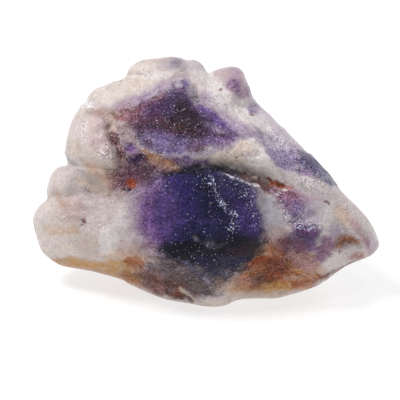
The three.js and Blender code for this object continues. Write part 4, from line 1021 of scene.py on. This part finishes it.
def amethyst():
    """Quartz: the painted pigments with grain, veins, dark specks and painted glints, and a broken surface.
    """
    material = bpy.data.materials.new("amethyst")
    tree = Tree(material)
    place = tree.add("TexCoord").out("Object")
    pigment = tree.add("Attribute", {"attribute_name": "pigment"}).out("Color")
    painted_glints = tree.add("Attribute", {"attribute_name": "painted_glints"}).out("Fac")
    darkness = tree.add("Attribute", {"attribute_name": "darkness"}).out("Fac")

    def amount(milky, more_when_dark):
        return milky + darkness * more_when_dark

    fine = noise(tree, place, *FINE_NOISE) - 0.5
    clouds = noise(tree, place, *CLOUD_NOISE) - 0.5
    salt = first_part(tree, cells(tree, place, SALT_SIZE)) - 0.5
    # The salt grain grows where the painted glints lie, adding pale and dark flecks to their painted sparkle
    grain = fine * amount(*FINE_SHADE) + salt * (amount(*SALT_SHADE) + painted_glints * SALT_IN_GLINTS)
    shade = 1 + grain + clouds * amount(*CLOUD_SHADE)
    grey = tree.add("CombineColor", None, {0: shade, 1: shade, 2: shade}).out()
    shaded = tree.mix(1.0, pigment, grey, "MULTIPLY")
    bend = (noise(tree, place, *VEIN_NOISE) - 0.5).math("ABSOLUTE")
    vein = tree.between(bend, VEIN_WIDTH, 0.0) * tree.between(clouds, *VEIN_CLOUDS) * (1 - darkness)
    veined = tree.mix(vein * VEIN_STRENGTH, shaded, colour(VEIN_COLOUR))

    speck_cells = cells(tree, place, SPECK_SIZE)
    rare = first_part(tree, speck_cells) < SPECK_SHARE
    speck = (speck_cells.out("Distance") < SPECK_RADIUS) * rare
    specked = tree.mix(speck * SPECK_STRENGTH, veined, colour(SPECK_COLOUR))

    # Painted glints: pale dots, and bright flashes where they crowd, mixed into the colour as light caught
    # by grains
    glint_cells = cells(tree, place, GLINT_SIZE)
    above = (painted_glints - first_part(tree, glint_cells)).math("MAXIMUM", 0.0)
    lit = (above / (painted_glints + LEAST_GLINT)) ** GLINT_SPREAD
    painted_glint = lit * tree.between(glint_cells.out("Distance"), *GLINT_EDGE)
    flash_cells = cells(tree, place, FLASH_SIZE)
    dense = (painted_glints - FLASH_LEAST) * FLASH_GAIN - first_part(tree, flash_cells)
    bright = tree.between(dense.math("MAXIMUM", 0.0), 0.0, FLASH_RISE)
    painted_flash = bright * tree.between(flash_cells.out("Distance"), *FLASH_EDGE)
    shown = (painted_glint * GLINT_STRENGTH).math("MAXIMUM", painted_flash)
    painted_sparkle = tree.mix(shown, specked, colour(PAINTED_GLINT_COLOUR))

    roughness = ROUGHNESS + fine * FINE_ROUGHNESS + darkness * DARK_ROUGHNESS
    facets = cells(tree, place, FACET_SIZE).out("Distance")
    broken = (fine * FINE_BUMP + facets * FACET_BUMP) * (MILKY_BUMP + darkness)
    height = broken + noise(tree, place, *DENT_NOISE) * DENT_BUMP
    bump = tree.add("Bump", None, {
        "Strength": BUMP_STRENGTH, "Distance": BUMP_DEPTH, "Height": height,
    }).out()
    glassy, granular = (
        tree.add("BsdfPrincipled", None, {
            "Base Color": painted_sparkle,
            "Roughness": roughness,
            "Normal": bump,
            "IOR": 1.54,
            "Specular IOR Level": gloss,
            "Subsurface Weight": 0.25,
            "Subsurface Radius": (1.0, 0.85, 1.0),
            "Subsurface Scale": 0.0008,
        }).out() for gloss in (MILKY_GLOSS, DARK_GLOSS)
    )
    surface = tree.add("MixShader", None, {0: darkness, 1: glassy, 2: granular}).out()
    tree.add("OutputMaterial", None, {"Surface": surface})
    return material


def stone_mesh():
    """The surface's points in one closed mesh, with its pigments, and where it gets painted glints and is
    dark.
    """
    directions, quads = box_directions(*CELLS)
    points, depth_share = leaning_surface(directions)
    pigments = paint(points, depth_share)
    painted_glints = cover(PAINTED_GLINT_ZONES, 0.0, float, points)[:, 0] * ease(depth_share, *PAINTED_GLINT_RANGE)
    places = stand(points)
    mesh = bpy.data.meshes.new("amethyst")
    mesh.vertices.add(len(places))
    mesh.vertices.foreach_set("co", places.ravel())
    mesh.loops.add(quads.size)
    mesh.loops.foreach_set("vertex_index", quads.ravel())
    mesh.polygons.add(len(quads))
    mesh.polygons.foreach_set("loop_start", np.arange(0, quads.size, 4))
    mesh.update(calc_edges=True)
    mesh.validate()
    mesh.polygons.foreach_set("use_smooth", np.ones(len(quads), bool))
    shown = mesh.attributes.new("pigment", "FLOAT_COLOR", "POINT")
    shown.data.foreach_set("color", np.column_stack([pigments, np.ones(len(pigments))]).ravel())
    darkness = 1 - ease(pigments @ EYE, *DARK_RANGE)
    for name, values in (("painted_glints", painted_glints), ("darkness", darkness)):
        mesh.attributes.new(name, "FLOAT", "POINT").data.foreach_set("value", values)
    return mesh


# Studio, in metres: a lamp has its place, its width and its power
FLOOR_HALF, FLOOR_COLOUR, FLOOR_GLOW = 1.5, (186, 186, 186), 0.64
SURROUND_LIGHT = 0.33
LAMPS = {
    "key": ((-0.18, 0.0, 0.34), 0.12, 0.95),
    "side": ((0.4, 0.1, 0.3), 0.2, 0.64),
    "left lamp": ((-0.14, 0.08, 0.38), 0.02, 0.22),
    "right lamp": ((0.12, -0.04, 0.4), 0.02, 0.1),
}
LAMP_TARGET = (0, 0, 0.015)


def lit_floor():
    """A grey that glows, so that the floor looks almost white and the shadow on it stays faint."""
    material = bpy.data.materials.new("floor")
    tree = Tree(material)
    surface = tree.add("BsdfPrincipled", None, {
        "Base Color": colour(FLOOR_COLOUR),
        "Roughness": 0.7,
        "Emission Color": (1, 1, 1, 1),
        "Emission Strength": FLOOR_GLOW,
    }).out()
    tree.add("OutputMaterial", None, {"Surface": surface})
    return material


def link(name, data):
    """Puts data into the scene as an object at the origin."""
    item = bpy.data.objects.new(name, data)
    bpy.context.scene.collection.objects.link(item)
    return item


def aim(item, place, target):
    """Puts a camera or a light at a place, looking at a target."""
    item.location = place
    item.rotation_euler = (Vector(target) - Vector(place)).to_track_quat("-Z", "Y").to_euler()


def studio():
    """A pale floor, an even bright surround, a soft key and side light from above, and two small lamps."""
    floor_mesh = bpy.data.meshes.new("floor")
    corners = [(x * FLOOR_HALF, y * FLOOR_HALF, 0) for x, y in ((-1, -1), (1, -1), (1, 1), (-1, 1))]
    floor_mesh.from_pydata(corners, [], [(0, 1, 2, 3)])
    floor = link("floor", floor_mesh)
    floor_mesh.materials.append(lit_floor())
    world = bpy.data.worlds.new("surround")
    bpy.context.scene.world = world
    world.use_nodes = True
    background = world.node_tree.nodes["Background"]
    background.inputs["Color"].default_value = (1, 1, 1, 1)
    background.inputs["Strength"].default_value = SURROUND_LIGHT
    for name, (place, width, power) in LAMPS.items():
        lamp = bpy.data.lights.new(name, "AREA")
        lamp.size = width
        lamp.energy = power
        aim(link(name, lamp), place, LAMP_TARGET)
    bpy.context.scene.view_settings.view_transform = "Standard"


# Camera, in metres, but with the sensor in millimetres and the aim in millimetres on the leaning plane
FRAME_WIDTH = 0.080
CAMERA_DISTANCE = 1.2
SENSOR_WIDTH = 36.0
AIM_ON_PLANE = (0.0, -4.0, 0.0)


def photographer():
    """A long lens at right angles to the leaning plane, so that a millimetre of it is five pixels."""
    lean = math.radians(LEAN_DEGREES)
    camera = bpy.data.cameras.new("camera")
    camera.sensor_width = SENSOR_WIDTH
    camera.lens = SENSOR_WIDTH * CAMERA_DISTANCE / FRAME_WIDTH
    camera.clip_end = 10
    item = link("camera", camera)
    target = Vector(stand(np.array([AIM_ON_PLANE]))[0])
    towards_viewer = Vector((0, -math.cos(lean), math.sin(lean)))
    aim(item, target + towards_viewer * CAMERA_DISTANCE, target)
    bpy.context.scene.camera = item


stone = link("amethyst", stone_mesh())
stone.data.materials.append(amethyst())
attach(stone, "root")
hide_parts("amethyst_stone")
studio()
photographer()
